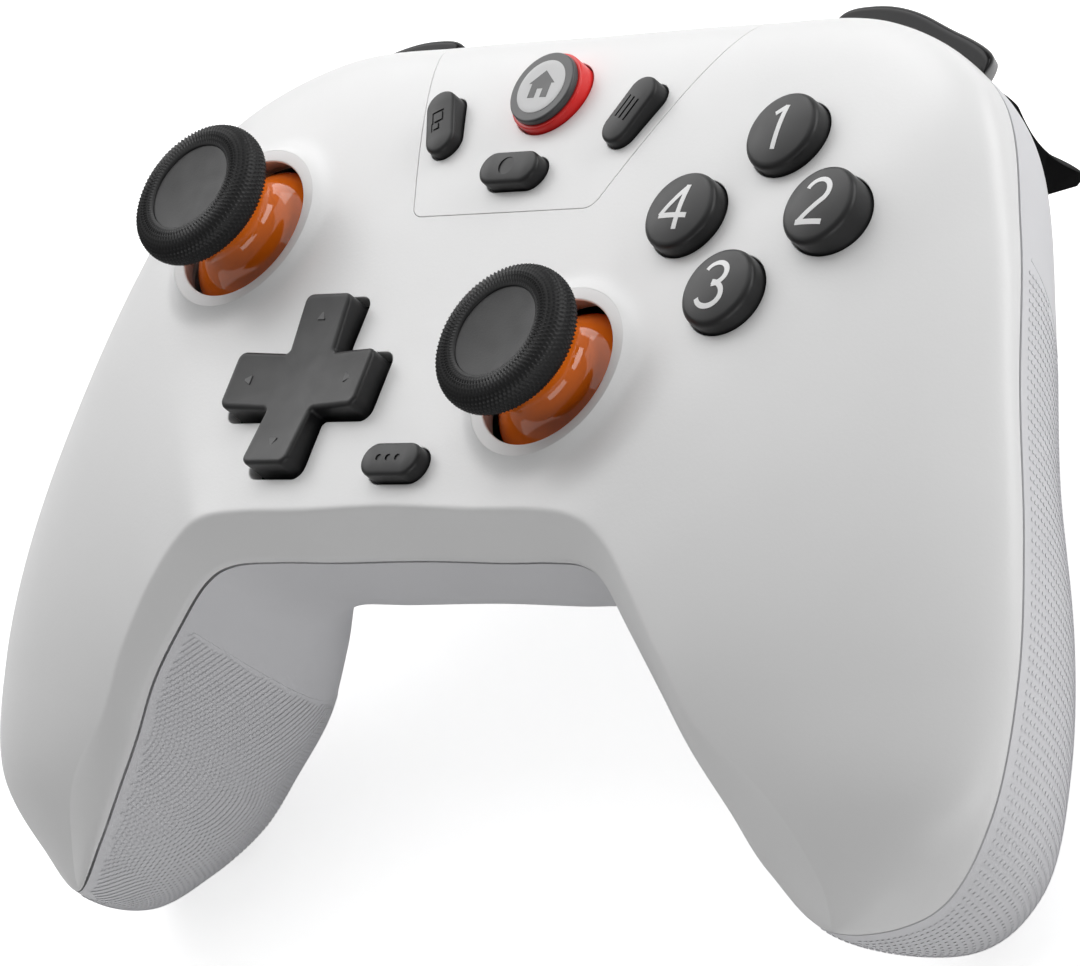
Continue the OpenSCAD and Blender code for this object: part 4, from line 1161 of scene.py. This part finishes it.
def stick_cap(side):
    """Thumb cap with a diamond knurl on its rim and a smooth dish."""
    middle = STICKS[side]
    rim = cap_profile()
    slope = unit(np.gradient(rim, axis=0))
    steps = KNURLS * KNURL_STEPS
    turn = np.linspace(0, 1, steps, endpoint=False)[None]
    row = np.arange(len(rim))[:, None]
    along = row / KNURL_STEPS
    fade = np.clip(np.minimum(row, row[::-1]) / KNURL_FADE, 0, 1)
    height = KNURL_H * fade * np.minimum(wave(KNURLS * turn + along), wave(KNURLS * turn - along))
    r = rim[:, :1] + slope[:, 1:] * height
    z = rim[:, 1:] - slope[:, :1] * height
    dish_r, dish_z = rim[-1] - [DISH_GAP, DISH_STEP]
    under = np.array([(f * rim[0, 0], rim[0, 1]) for f in UNDER_AT])
    dish = [(f * dish_r, dish_z - DISH_STEP - DISH_H * (1 - f * f)) for f in np.linspace(1, DISH_INNER, 12)]
    dish = np.array([(dish_r, dish_z)] + dish)
    flat = np.ones((1, steps))
    r = np.concatenate([under[:, :1] * flat, r, dish[:, :1] * flat])
    z = np.concatenate([under[:, 1:] * flat, z, dish[:, 1:] * flat])
    turn = 2 * math.pi * turn
    rows = np.stack([middle[0] + r * np.cos(turn), middle[1] + r * np.sin(turn), z], -1)
    cap = loft(f"{side}_cap", rows)
    finished(cap, "cap_rubber", f"{side}_stick", f"{side}_stick_cap", degrees=50)


def ball(radius, start, end, steps):
    """Profile of a ball round the stick's pivot, angles from upright."""
    return [(radius * math.sin(a), PIVOT_Z + radius * math.cos(a)) for a in np.linspace(start, end, steps)]


def stick_dome(side):
    """Coloured dome whose top sweeps up into the neck of the cap."""
    skin = DOME_R - DOME_BACK
    flare_r = NECK_R + DOME_FLARE
    reach = skin + DOME_FLARE
    neck_a = math.asin(flare_r / reach)
    sweep_z = PIVOT_Z + reach * math.cos(neck_a)
    edge_a = math.radians(DOME_EDGE)
    bore = SHAFT_R + SHAFT_ROOM
    profile = ball(skin, edge_a, neck_a, 24)
    profile += round_corner(flare_r, sweep_z, DOME_FLARE, 270 - math.degrees(neck_a), 180, 14)[1:]
    profile += [(NECK_R, CAP_LOW), (bore, CAP_LOW), (bore, BOSS_LOW), (BOSS_R, BOSS_LOW)]
    profile += ball(skin - DOME_T, math.radians(BOSS_TURN), edge_a, 10)
    dome = revolved(f"{side}_dome", profile, STICKS[side], STICK_STEPS)
    finished(dome, "dome_orange", f"{side}_stick", f"{side}_stick_dome")


for side in STICKS:
    stick_ring(side)
    stick_cap(side)
    stick_dome(side)


# Face buttons with plain numerals
BUTTON_ROUND = 0.9
BUTTON_ROUND_END = 78
BUTTON_STEPS = 128
FLANGE_T = 1.2
FLANGE_W = 0.8
FLANGE_DROP = WALL + 0.5
STEM_R = 3.0
STEM_LOW = BOARD_TOP + 4.4
NUMERAL_H = 5.6
STROKE_W = 0.62
STROKE_STEPS = 12
INK_T = 0.05


def face_button(k):
    middle = button_middle(k)
    top = face_z(*middle) + FACE_UP
    under = face_z(*middle) - FLANGE_DROP - FLANGE_T
    flange_r, flange_top = FACE_R + FLANGE_W, under + FLANGE_T
    profile = [(0, STEM_LOW), (STEM_R, STEM_LOW), (STEM_R, under)]
    profile += [(flange_r, under), (flange_r, flange_top), (FACE_R, flange_top)]
    profile += round_corner(FACE_R - BUTTON_ROUND, top - BUTTON_ROUND, BUTTON_ROUND, 0, BUTTON_ROUND_END, 9)
    edge_r, crown_low = profile[-1]
    crown = top + FACE_CROWN - crown_low
    profile += [(edge_r * f, crown_low + crown * (1 - f * f)) for f in np.linspace(1, 0, 12)[1:]]

    def crown_height(flat):
        away = np.hypot(*(flat - middle).T) / edge_r
        return crown_low + crown * (1 - away ** 2)

    button = revolved(f"button_{k + 1}_cap", profile, middle, BUTTON_STEPS)
    finished(button, "button_black", f"button_{k + 1}", f"face_button_{k + 1}")
    mark = numeral(k, middle, crown_height)
    finished(mark, "button_black", f"button_{k + 1}", finish="mark_white")


def line_of(*points):
    """Straight stroke between points, with points close enough to follow the crown."""
    parts = [np.linspace(a, b, STROKE_STEPS)[:-1] for a, b in zip(points, points[1:])]
    return np.concatenate(parts + [np.array([points[-1]])])


def numeral_strokes(k):
    """Strokes of the numerals 1 to 4 in a box one high and about two thirds wide."""
    if k == 0:
        return [line_of((-0.16, 0.30), (0.06, 0.46)), line_of((0.06, 0.5), (0.06, -0.5))]
    if k == 1:
        hook = arc((0, 0.22), (0.28, 0.28), 165, -35)
        slope = line_of(hook[-1], (-0.28, -0.45))
        return [np.concatenate([hook, slope[1:]]), line_of((-0.33, -0.45), (0.33, -0.45))]
    if k == 2:
        return [arc((-0.02, 0.23), (0.27, 0.25), 160, -88), arc((-0.02, -0.23), (0.31, 0.26), 90, -160)]
    stem = line_of((0.14, 0.5), (0.14, -0.5))
    slope = line_of((0.14, 0.45), (-0.34, -0.20))
    return [stem, slope, line_of((-0.36, -0.20), (0.36, -0.20))]


def ribbon(name, stroke, width, height):
    """Thin raised stroke that follows a surface."""
    tangent = unit(np.gradient(stroke, axis=0))
    side = np.column_stack([-tangent[:, 1], tangent[:, 0]]) * width / 2
    rows = []
    for left, right in zip(stroke + side, stroke - side):
        left_z, right_z = height(np.array([left, right]))
        under = [(*left, left_z - INK_T), (*right, right_z - INK_T)]
        rows.append(under + [(*right, right_z + INK_T), (*left, left_z + INK_T)])
    return loft(name, rows)


def numeral(k, middle, height):
    strokes = [np.array(middle) + NUMERAL_H * stroke for stroke in numeral_strokes(k)]
    mark = ribbon(f"button_{k + 1}_numeral", strokes[0], STROKE_W, height)
    for stroke in strokes[1:]:
        boolean(mark, ribbon("stroke", stroke, STROKE_W, height), "UNION")
    return mark


for k in range(4):
    face_button(k)


# Cross pad
DPAD_FLANGE_Z = -5.0
DPAD_FLANGE_W = 0.4
DPAD_LOW = DPAD_FLANGE_Z + 0.3
DPAD_ROUND = 0.6
DPAD_CORNER = 1.2
DPAD_WAIST = 0.5
DPAD_DISH = 0.9
DPAD_RINGS = 40
DPAD_CORE = 0.02
LUG_HALF = 2
LUG_IN = 3.6
LUG_OUT = 5.0
LUG_LOW = -10.6
LUG_TOP = DPAD_FLANGE_Z + 0.1
DPAD_PIN_Z = -9.0
DPAD_PIN_R = 1.0
DPAD_PIN_HALF = 5
ARROW_OUT = 8.2
ARROW_R = 0.85
ARROW_SOFT = 0.12
ARROW_UP = 0.1
ARROW_EDGE = 0.06
ARROW_SINK = 0.5


def dpad_height(flat):
    """Top of the cross, a shallow hollow that is deepest in the middle."""
    away = np.hypot(flat[:, 0] - DPAD[0], flat[:, 1] - DPAD[1]) / DPAD_ARM
    return DPAD_UP - DPAD_DISH * np.maximum(1 - away ** 2, 0)


def dpad_top_outline(growth):
    return dpad_outline(growth, DPAD_CORNER + growth, DPAD_WAIST - growth)


def dpad_cross():
    """Cross with a dished top on a round flange, with two lugs and a pin below."""
    layers = [layer(dpad_top_outline(0), DPAD_LOW)]
    for growth, drop in rounded_edge(DPAD_ROUND, 0, 90, 7):
        flat = dpad_top_outline(growth)
        layers.append(layer(flat, dpad_height(flat) + drop))
    rim = dpad_top_outline(-DPAD_ROUND)
    for f in np.linspace(1, DPAD_CORE, DPAD_RINGS)[1:]:
        flat = np.array(DPAD) + (rim - DPAD) * f
        layers.append(layer(flat, dpad_height(flat)))
    cross_piece = loft("dpad_top", layers)
    flange = circle(DPAD, DPAD_ARM + DPAD_FLANGE_W, 96)
    boolean(cross_piece, prism("flange", flange, DPAD_FLANGE_Z, DPAD_FLANGE_Z + FLANGE_T), "UNION")
    lug = np.array([(-LUG_HALF, LUG_IN), (LUG_HALF, LUG_IN), (LUG_HALF, LUG_OUT), (-LUG_HALF, LUG_OUT)])
    for s in (-1, 1):
        outline = anticlockwise(lug * [1, s] + DPAD)
        boolean(cross_piece, prism("lug", outline, LUG_LOW, LUG_TOP), "UNION")
    finished(cross_piece, "button_black", "dpad")
    pin = circle((DPAD[0], DPAD_PIN_Z), DPAD_PIN_R, 32)
    pin = upright("dpad_pin", pin, DPAD[1] - DPAD_PIN_HALF, DPAD[1] + DPAD_PIN_HALF)
    finished(pin, "button_black", "dpad")
    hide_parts("dpad_cross")


def dpad_arrow(k):
    """Small raised triangle near the end of an arm."""
    back, half = -0.6 * ARROW_R, 0.8 * ARROW_R
    corners = [(ARROW_R, 0, ARROW_SOFT), (back, half, ARROW_SOFT), (back, -half, ARROW_SOFT)]
    outline = turned(filleted(corners, 4) + [ARROW_OUT, 0], 90 * k) + DPAD
    top = dpad_height(outline.mean(0)[None])[0] + ARROW_UP
    rows = [(0, top - ARROW_SINK), (0, top - ARROW_EDGE), (-ARROW_EDGE, top)]
    arrow = stacked(f"dpad_arrow_{k + 1}", lambda g: grown(anticlockwise(outline), g), rows)
    finished(arrow, "button_black", "dpad", finish="mark_dark")


dpad_cross()
for k in range(4):
    dpad_arrow(k)


# Small buttons
PILL_ROUND = 0.55
PILL_ROUND_END = 80
PILL_CROWN = 0.18
PILL_LOW = 0.4
PILL_SPINE = -PILL_W / 2 + 0.03
PILL_STEPS = 32
PANEL_DROP = 4.1
SWITCH_TOP = BOARD_TOP + 5
SWITCH_GAP = 0.7
SMALL_STEM_R = 1.5
SMALL_STEM_UP = 0.6
CUT = 0.16
CUT_W = 0.28
VIEW_SQUARES = ((0.55, 0, 1.7), (-0.75, 0.35, 1.3))
MENU_BAR_L = 3.0
MENU_BARS = (-0.8, 0, 0.8)
SHARE_R = 1.15
MODE_DOT_R = 0.42
MODE_DOTS = (-1.5, 0, 1.5)


def pill_button(name):
    middle, lean = PILLS[name]
    z = face_z(*middle)
    top = z + PILL_UP
    under = z - (FLANGE_DROP if name == "mode" else PANEL_DROP) - FLANGE_T

    def outline(growth):
        return pill_outline(name, growth, PILL_STEPS)

    rows = [(0, under + PILL_LOW)] + rounded_edge(PILL_ROUND, top, PILL_ROUND_END, 8)
    edge_growth, edge_z = rows[-1]
    for f in np.linspace(0, 1, 12)[1:]:
        rows.append((edge_growth + (PILL_SPINE - edge_growth) * f, edge_z + PILL_CROWN * (1 - (1 - f) ** 2)))
    button = stacked(f"{name}_cap", outline, rows)
    flange = [(FLANGE_W, under), (FLANGE_W, under + FLANGE_T)]
    boolean(button, stacked("flange", outline, flange), "UNION")
    stem = prism("stem", circle(middle, SMALL_STEM_R, 40), SWITCH_TOP + SWITCH_GAP, under + SMALL_STEM_UP)
    boolean(button, stem, "UNION")
    for cutter in pill_symbol(name, np.array(middle), lean, top + PILL_CROWN):
        boolean(button, cutter)
    finished(button, "button_black", name, f"{name}_button")


def box_outline(middle, size, degrees):
    """Rectangle of this length and width, turned."""
    half = np.array([[1, -1], [1, 1], [-1, 1], [-1, -1]]) * np.array(size) / 2
    return middle + turned(half, degrees)


def frame_cut(middle, side, degrees, top):
    """Cutter for the outline of a square."""
    core_side = side - 2 * CUT_W
    cutter = prism("square", box_outline(middle, (side, side), degrees), top - CUT, top + 1)
    core = box_outline(middle, (core_side, core_side), degrees)
    return boolean(cutter, prism("core", core, top - CUT - 1, top + 2))


def pill_symbol(name, middle, lean, top):
    """Generic signs cut into the buttons: two squares, three bars, a dimple or three dots."""
    along, aside = turned(np.eye(2), lean)
    if name == "view":
        return [frame_cut(middle + along * a + aside * b, side, lean, top) for a, b, side in VIEW_SQUARES]
    if name == "menu":
        outlines = [box_outline(middle + aside * step, (MENU_BAR_L, CUT_W), lean) for step in MENU_BARS]
    elif name == "share":
        outlines = [circle(middle, SHARE_R, 40)]
    else:
        outlines = [circle(middle + along * step, MODE_DOT_R, 24) for step in MODE_DOTS]
    return [prism("sign", outline, top - CUT, top + 1) for outline in outlines]


for name in PILLS:
    pill_button(name)


# Home button over its coloured ring
HOME_STEP = face_z(*HOME) + 1.5
HOME_TOP = face_z(*HOME) + PILL_UP + 0.5
HOME_SOFT = 0.25
HOME_DRAFT = 0.05
HOME_FLAT_R = HOME_R - 0.35
HOME_CROWN = 0.04
HOME_FOOT_IN = 0.1
DISC_R = 3.5
DISC_SINK = 0.1
DISC_UP = 0.09
DISC_EDGE = 0.06
DISC_SOFT = 0.08
DISC_CROWN = 0.03
SIGN_UP = 0.14
HOUSE = ((-1.5, -1.5), (1.5, -1.5), (1.5, 0.4), (2.0, 0.4), (0, 2.1), (-2.0, 0.4), (-1.5, 0.4))
DOOR = ((-0.45, -1.6), (0.45, -1.6), (0.45, -0.3), (-0.45, -0.3))
HOME_RING_BORE = SMALL_STEM_R + 0.03


def home_cap():
    low = SWITCH_TOP + SWITCH_GAP
    profile = [(0, low), (SMALL_STEM_R, low), (SMALL_STEM_R, HOME_STEP), (HOME_R - HOME_FOOT_IN, HOME_STEP)]
    profile += round_corner(HOME_R - HOME_SOFT, HOME_STEP + HOME_SOFT, HOME_SOFT, -60, 0, 4)
    profile += round_corner(HOME_R - HOME_DRAFT - HOME_SOFT, HOME_TOP - HOME_SOFT, HOME_SOFT, 0, 85, 6)
    profile += [(HOME_FLAT_R * f, HOME_TOP + HOME_CROWN * (1 - f * f)) for f in np.linspace(1, 0, 8)]
    button = revolved("home_cap", profile, HOME, BUTTON_STEPS)
    finished(button, "home_dark", "home", "home_button")


def home_disc():
    low, top = HOME_TOP - DISC_SINK, HOME_TOP + DISC_UP
    disc = [(0, low), (DISC_R, low), (DISC_R, HOME_TOP + DISC_EDGE), (DISC_R - DISC_SOFT, top)]
    disc += [(DISC_R * f, top + DISC_CROWN * (1 - f * f)) for f in (0.8, 0.5, 0)]
    finished(revolved("home_disc", disc, HOME, 96), "home_dark", "home", finish="home_light")


def home_sign():
    """Plain house on the disc."""
    sign = prism("home_sign", np.array(HOUSE) + HOME, HOME_TOP, HOME_TOP + SIGN_UP)
    boolean(sign, prism("door", np.array(DOOR) + HOME, HOME_TOP - 1, HOME_TOP + 1))
    finished(sign, "home_dark", "home")


def home_ring():
    out = HOME_R + HOME_RING_W
    under = face_z(*HOME) - PANEL_DROP - FLANGE_T
    flange_r, flange_top = out + FLANGE_W, under + FLANGE_T
    ring = [(HOME_RING_BORE, under), (flange_r, under), (flange_r, flange_top), (out, flange_top)]
    ring += round_corner(out - HOME_SOFT, HOME_STEP - HOME_SOFT, HOME_SOFT, 0, 90, 6)
    ring += [(HOME_RING_BORE, HOME_STEP)]
    finished(revolved("home_glow", ring, HOME, BUTTON_STEPS), "home_red", "home", "home_ring")


home_cap()
home_disc()
home_sign()
home_ring()


# Bumpers and triggers
BUMPER_STEPS = 80
BUMPER_ROUND = 1.2
BUMPER_EDGE = 0.6
BUMPER_EDGE_MIDDLE = 0.3
BUMPER_SLIM_FROM = 0.2
BUMPER_SLIM_OVER = 0.5
BUMPER_LEAST = 0.02
BUMPER_CORNER_POWER = 12
BUMPER_END_POWER = 40
BUMPER_PIN_BACK = 2.2
BUMPER_HUB_W = 1.3
BORE_ROOM = 0.05
BORE_Z = (-40.0, 10.0)
TRIGGER_STEPS = 49
TRIGGER_MIDDLE = np.array([-6, TRIGGER_TOP - 4])
TRIGGER_BACK_TOP = -8.2
TRIGGER_TIP = -0.6
TRIGGER_DISH_DOWN = 0.7
TRIGGER_DISH_SHORT = 1.2
TRIGGER_TAPER = 0.03
TRIGGER_TAPER_POWER = 6
TRIGGER_EDGE = 0.04
TRIGGER_EDGE_POWER = 40
TRIGGER_HUB_R = 3.0
ARM_HALF = 1
ARM_BACK = 6
ARM_TOP_DOWN = 0.2
ARM_LOW_DOWN = 4
ARM_FOOT_HALF = 3
ARM_HEEL_DOWN = 9


def eased(count):
    """Shares from zero to one, closer together at both ends."""
    return (1 - np.cos(np.pi * np.linspace(0, 1, count))) / 2


def bumper_outline(back_off, depth):
    """Outline of the bumper at a depth under its top, with its front this far back."""
    f = eased(BUMPER_STEPS)
    u = BUMPER_SPAN[0] + (BUMPER_SPAN[1] - BUMPER_LEAN * depth - BUMPER_SPAN[0]) * f
    a = np.abs(2 * f - 1)
    slim = np.clip((f - BUMPER_SLIM_FROM) / BUMPER_SLIM_OVER, 0, 1)
    out = BUMPER_OUT - BUMPER_SLIM * slim * slim * (3 - 2 * slim)
    out = out * np.sqrt(1 - a ** BUMPER_CORNER_POWER) - BUMPER_IN * a ** BUMPER_END_POWER
    front = edge(u, np.maximum(out - back_off, -BUMPER_IN + BUMPER_LEAST))
    back = edge(u[::-1], -BUMPER_IN)
    return np.concatenate([front, back[1:-1]])


def bumper(side):
    """Bumper with a front that rounds over into its top."""
    low = BUMPER_TOP - BUMPER_H
    flip = np.array([-1 if side == "left" else 1, 1])
    pin = edge(BUMPER_PIN_AT, -BUMPER_PIN_BACK)[0] * flip
    middle = BUMPER_EDGE * BUMPER_EDGE_MIDDLE
    rows = [(-BUMPER_EDGE, low), (-middle, low + middle), (0, low + BUMPER_EDGE)]
    rows += rounded_edge(BUMPER_ROUND, BUMPER_TOP, 90, 10)
    layers = [layer(bumper_outline(-growth, BUMPER_TOP - z) * flip, z) for growth, z in rows]
    piece = loft(f"{side}_bumper_skin", layers)
    boolean(piece, prism("hub", circle(pin, BUMPER_PIN_R + BUMPER_HUB_W, 48), low, BUMPER_TOP), "UNION")
    boolean(piece, prism("bore", circle(pin, BUMPER_PIN_R + BORE_ROOM, 48), *BORE_Z))
    finished(piece, "bumper_black", f"{side}_shoulder", f"{side}_bumper", degrees=40)


def trigger_side():
    """Outline of the trigger from the side: the top, the finger dish, the tip and the back."""
    s = np.linspace(0, 1, 30)
    tip_z = -TRIGGER_LOW
    dish_h = TRIGGER_LOW + TRIGGER_TOP - TRIGGER_DISH_SHORT
    dish_y = TRIGGER_TIP * s - TRIGGER_DISH * np.sin(np.pi * s)
    dish = np.column_stack([dish_y, TRIGGER_TOP - TRIGGER_DISH_DOWN - dish_h * s])
    top = np.linspace((TRIGGER_BACK_TOP, TRIGGER_TOP), (-0.8, TRIGGER_TOP), 10)
    low = [(-1.4, tip_z), (-2.4, tip_z + 0.4)]
    back = [(-7, tip_z + 5.5), (-TRIGGER_DEPTH, tip_z + 7.7), (-TRIGGER_DEPTH, TRIGGER_TOP - 6)]
    return np.concatenate([top, dish, low, back])


def trigger(side):
    """Trigger that is wider at its upper front, with two arms to its shaft."""
    s = -1 if side == "left" else 1
    shape = trigger_side()
    first, last = TRIGGER_SPAN
    rows = []
    for f in eased(TRIGGER_STEPS):
        a = abs(2 * f - 1)
        scale = 1 - TRIGGER_TAPER * a ** TRIGGER_TAPER_POWER - TRIGGER_EDGE * a ** TRIGGER_EDGE_POWER
        q = TRIGGER_MIDDLE + (shape - TRIGGER_MIDDLE) * scale
        at_front = np.clip(1 + q[:, :1] / TRIGGER_WIDE, 0, 1)
        wide = outer(first + (trigger_end(q[:, 1]) - first) * f)
        narrow = outer(np.full(len(q), first + (last - first) * f))
        line = at_front * wide + (1 - at_front) * narrow
        rows.append(np.column_stack([line[:, 0] * s, line[:, 1] + q[:, 0], q[:, 1]]))
    piece = loft(f"{side}_trigger_skin", rows)
    for x in TRIGGER_ARMS:
        boolean(piece, trigger_arm(x * s), "UNION")
        hub = circle(TRIGGER_AXIS, TRIGGER_HUB_R, 48)
        boolean(piece, sideways("hub", hub, x * s - ARM_HALF, x * s + ARM_HALF), "UNION")
    boolean(piece, sideways("bore", circle(TRIGGER_AXIS, TRIGGER_SHAFT_R + BORE_ROOM, 48), -90, 90))
    finished(piece, "trigger_black", f"{side}_finger", f"{side}_trigger", degrees=40)


def sideways(name, outline, low, high):
    """Prism along x of an outline drawn in y and z."""
    return loft(name, [np.column_stack([np.full(len(outline), x), outline]) for x in (low, high)])


def trigger_arm(x):
    """Arm from the shaft to the inside of the trigger's top."""
    axis = np.array(TRIGGER_AXIS)
    line = outer(np.linspace(1, 3, 60))
    y = np.interp(abs(x), line[:, 0], line[:, 1]) - ARM_BACK
    at_trigger = [(y, TRIGGER_TOP - ARM_TOP_DOWN), (y, TRIGGER_TOP - ARM_LOW_DOWN)]
    foot = [axis - [ARM_FOOT_HALF, 0], axis + [ARM_FOOT_HALF, 0]]
    shape = np.array([*foot, *at_trigger, axis - [0, ARM_HEEL_DOWN]])
    return sideways("arm", shape, x - ARM_HALF, x + ARM_HALF)


for side in STICKS:
    bumper(side)
    trigger(side)


# Carried-over parts keep their shape and take their slot's finish
slots = {part["node"]: part["material_slot"] for part in frame["record"]["subparts"]}
for name, piece in frame["nodes"].items():
    piece.data.materials.clear()
    piece.data.materials.append(finishes[slots[name]])


# Stage, light and camera; the camera's place is fitted to the photograph
IMAGE_W = 1080
FOCAL_PX = 6377.0
CAMERA_AT = (509.578, -261.713, 429.405)
CAMERA_RIGHT = Vector((0.711639, 0.335014, -0.617523))
CAMERA_DOWN = Vector((-0.007925, -0.875096, -0.483884))
CAMERA_FORWARD = Vector((-0.702500, 0.349245, -0.620098))
SENSOR_W = 36.0
CLIP_END = 10.0
WORLD_LIGHT = 0.06
WORLD_GLOSS = 0.35
FLOOR_HALF = 3.0
FLOOR_GREY = (0.86, 0.86, 0.86, 1)
FLOOR_GLOW = (0.7, 0.7, 0.7, 1)
WHITE = (1, 1, 1, 1)
# Azimuth and elevation in degrees, power in watts, width and height in metres
LAMPS = {
    "key": (135, 30, 7.3, (1.2, 0.9)),
    "rim": (45, 9, 6.2, (1.2, 0.36)),
    "front": (315, 9, 3.7, (1.2, 0.36)),
    "left": (180, 55, 3.1, (1.2, 1.2)),
    "high": (90, 55, 5.0, (1.2, 1.2)),
}
LAMP_AWAY = 1.1
LAMP_TARGET = Vector((0, 0, 0.03))


def camera():
    data = bpy.data.cameras.new("camera")
    data.sensor_width = SENSOR_W
    data.lens = FOCAL_PX / IMAGE_W * SENSOR_W
    data.clip_end = CLIP_END
    eye = bpy.data.objects.new("camera", data)
    turn = Matrix((CAMERA_RIGHT, -CAMERA_DOWN, -CAMERA_FORWARD)).transposed()
    eye.matrix_world = Matrix.Translation(Vector(seated(CAMERA_AT))) @ turn.to_4x4()
    bpy.context.scene.collection.objects.link(eye)
    bpy.context.scene.camera = eye


def world():
    """White behind the part for the camera, grey in reflections and a dim even light for everything else."""
    space = bpy.data.worlds.new("studio")
    space.use_nodes = True
    nodes, links = space.node_tree.nodes, space.node_tree.links
    path = nodes.new("ShaderNodeLightPath")
    indirect = nodes.new("ShaderNodeMapRange")
    indirect.inputs["To Min"].default_value = WORLD_LIGHT
    indirect.inputs["To Max"].default_value = WORLD_GLOSS
    links.new(path.outputs["Is Glossy Ray"], indirect.inputs["Value"])
    strength = nodes.new("ShaderNodeMath")
    strength.operation = "MAXIMUM"
    links.new(path.outputs["Is Camera Ray"], strength.inputs[0])
    links.new(indirect.outputs["Result"], strength.inputs[1])
    links.new(strength.outputs[0], nodes["Background"].inputs["Strength"])
    nodes["Background"].inputs["Color"].default_value = WHITE
    bpy.context.scene.world = space


def floor_finish():
    """Pale matt floor that glows a little for the camera, so that it ends up white beside the shadow."""
    material = bpy.data.materials.new("floor")
    material.use_nodes = True
    material.node_tree.nodes.clear()
    matt = node_of(material, "ShaderNodeBsdfDiffuse")
    matt.inputs["Color"].default_value = FLOOR_GREY
    glow = node_of(material, "ShaderNodeEmission")
    glow.inputs["Color"].default_value = FLOOR_GLOW
    path = node_of(material, "ShaderNodeLightPath")
    link(material, path.outputs["Is Camera Ray"], glow.inputs["Strength"])
    both = node_of(material, "ShaderNodeAddShader")
    link(material, matt.outputs[0], both.inputs[0])
    link(material, glow.outputs[0], both.inputs[1])
    output = node_of(material, "ShaderNodeOutputMaterial")
    link(material, both.outputs[0], output.inputs["Surface"])
    return material


def floor():
    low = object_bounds()[0][2]
    signs = ((-1, -1), (1, -1), (1, 1), (-1, 1))
    mesh = bpy.data.meshes.new("floor")
    mesh.from_pydata([(i * FLOOR_HALF, j * FLOOR_HALF, low) for i, j in signs], [], [(0, 1, 2, 3)])
    mesh.materials.append(floor_finish())
    piece = bpy.data.objects.new("floor", mesh)
    bpy.context.scene.collection.objects.link(piece)
    piece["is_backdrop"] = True


def lamp(name, azimuth, elevation, power, size):
    """Soft rectangular lamp that looks at the part."""
    a, e = math.radians(azimuth), math.radians(elevation)
    away = LAMP_AWAY * Vector((math.cos(e) * math.cos(a), math.cos(e) * math.sin(a), math.sin(e)))
    data = bpy.data.lights.new(name, "AREA")
    data.shape = "RECTANGLE"
    data.size, data.size_y = size
    data.energy = power
    light = bpy.data.objects.new(name, data)
    light.location = LAMP_TARGET + away
    light.rotation_euler = (-away).to_track_quat("-Z", "Y").to_euler()
    bpy.context.scene.collection.objects.link(light)


camera()
world()
floor()
for name, settings in LAMPS.items():
    lamp(name, *settings)
bpy.context.scene.view_settings.view_transform = "Standard"
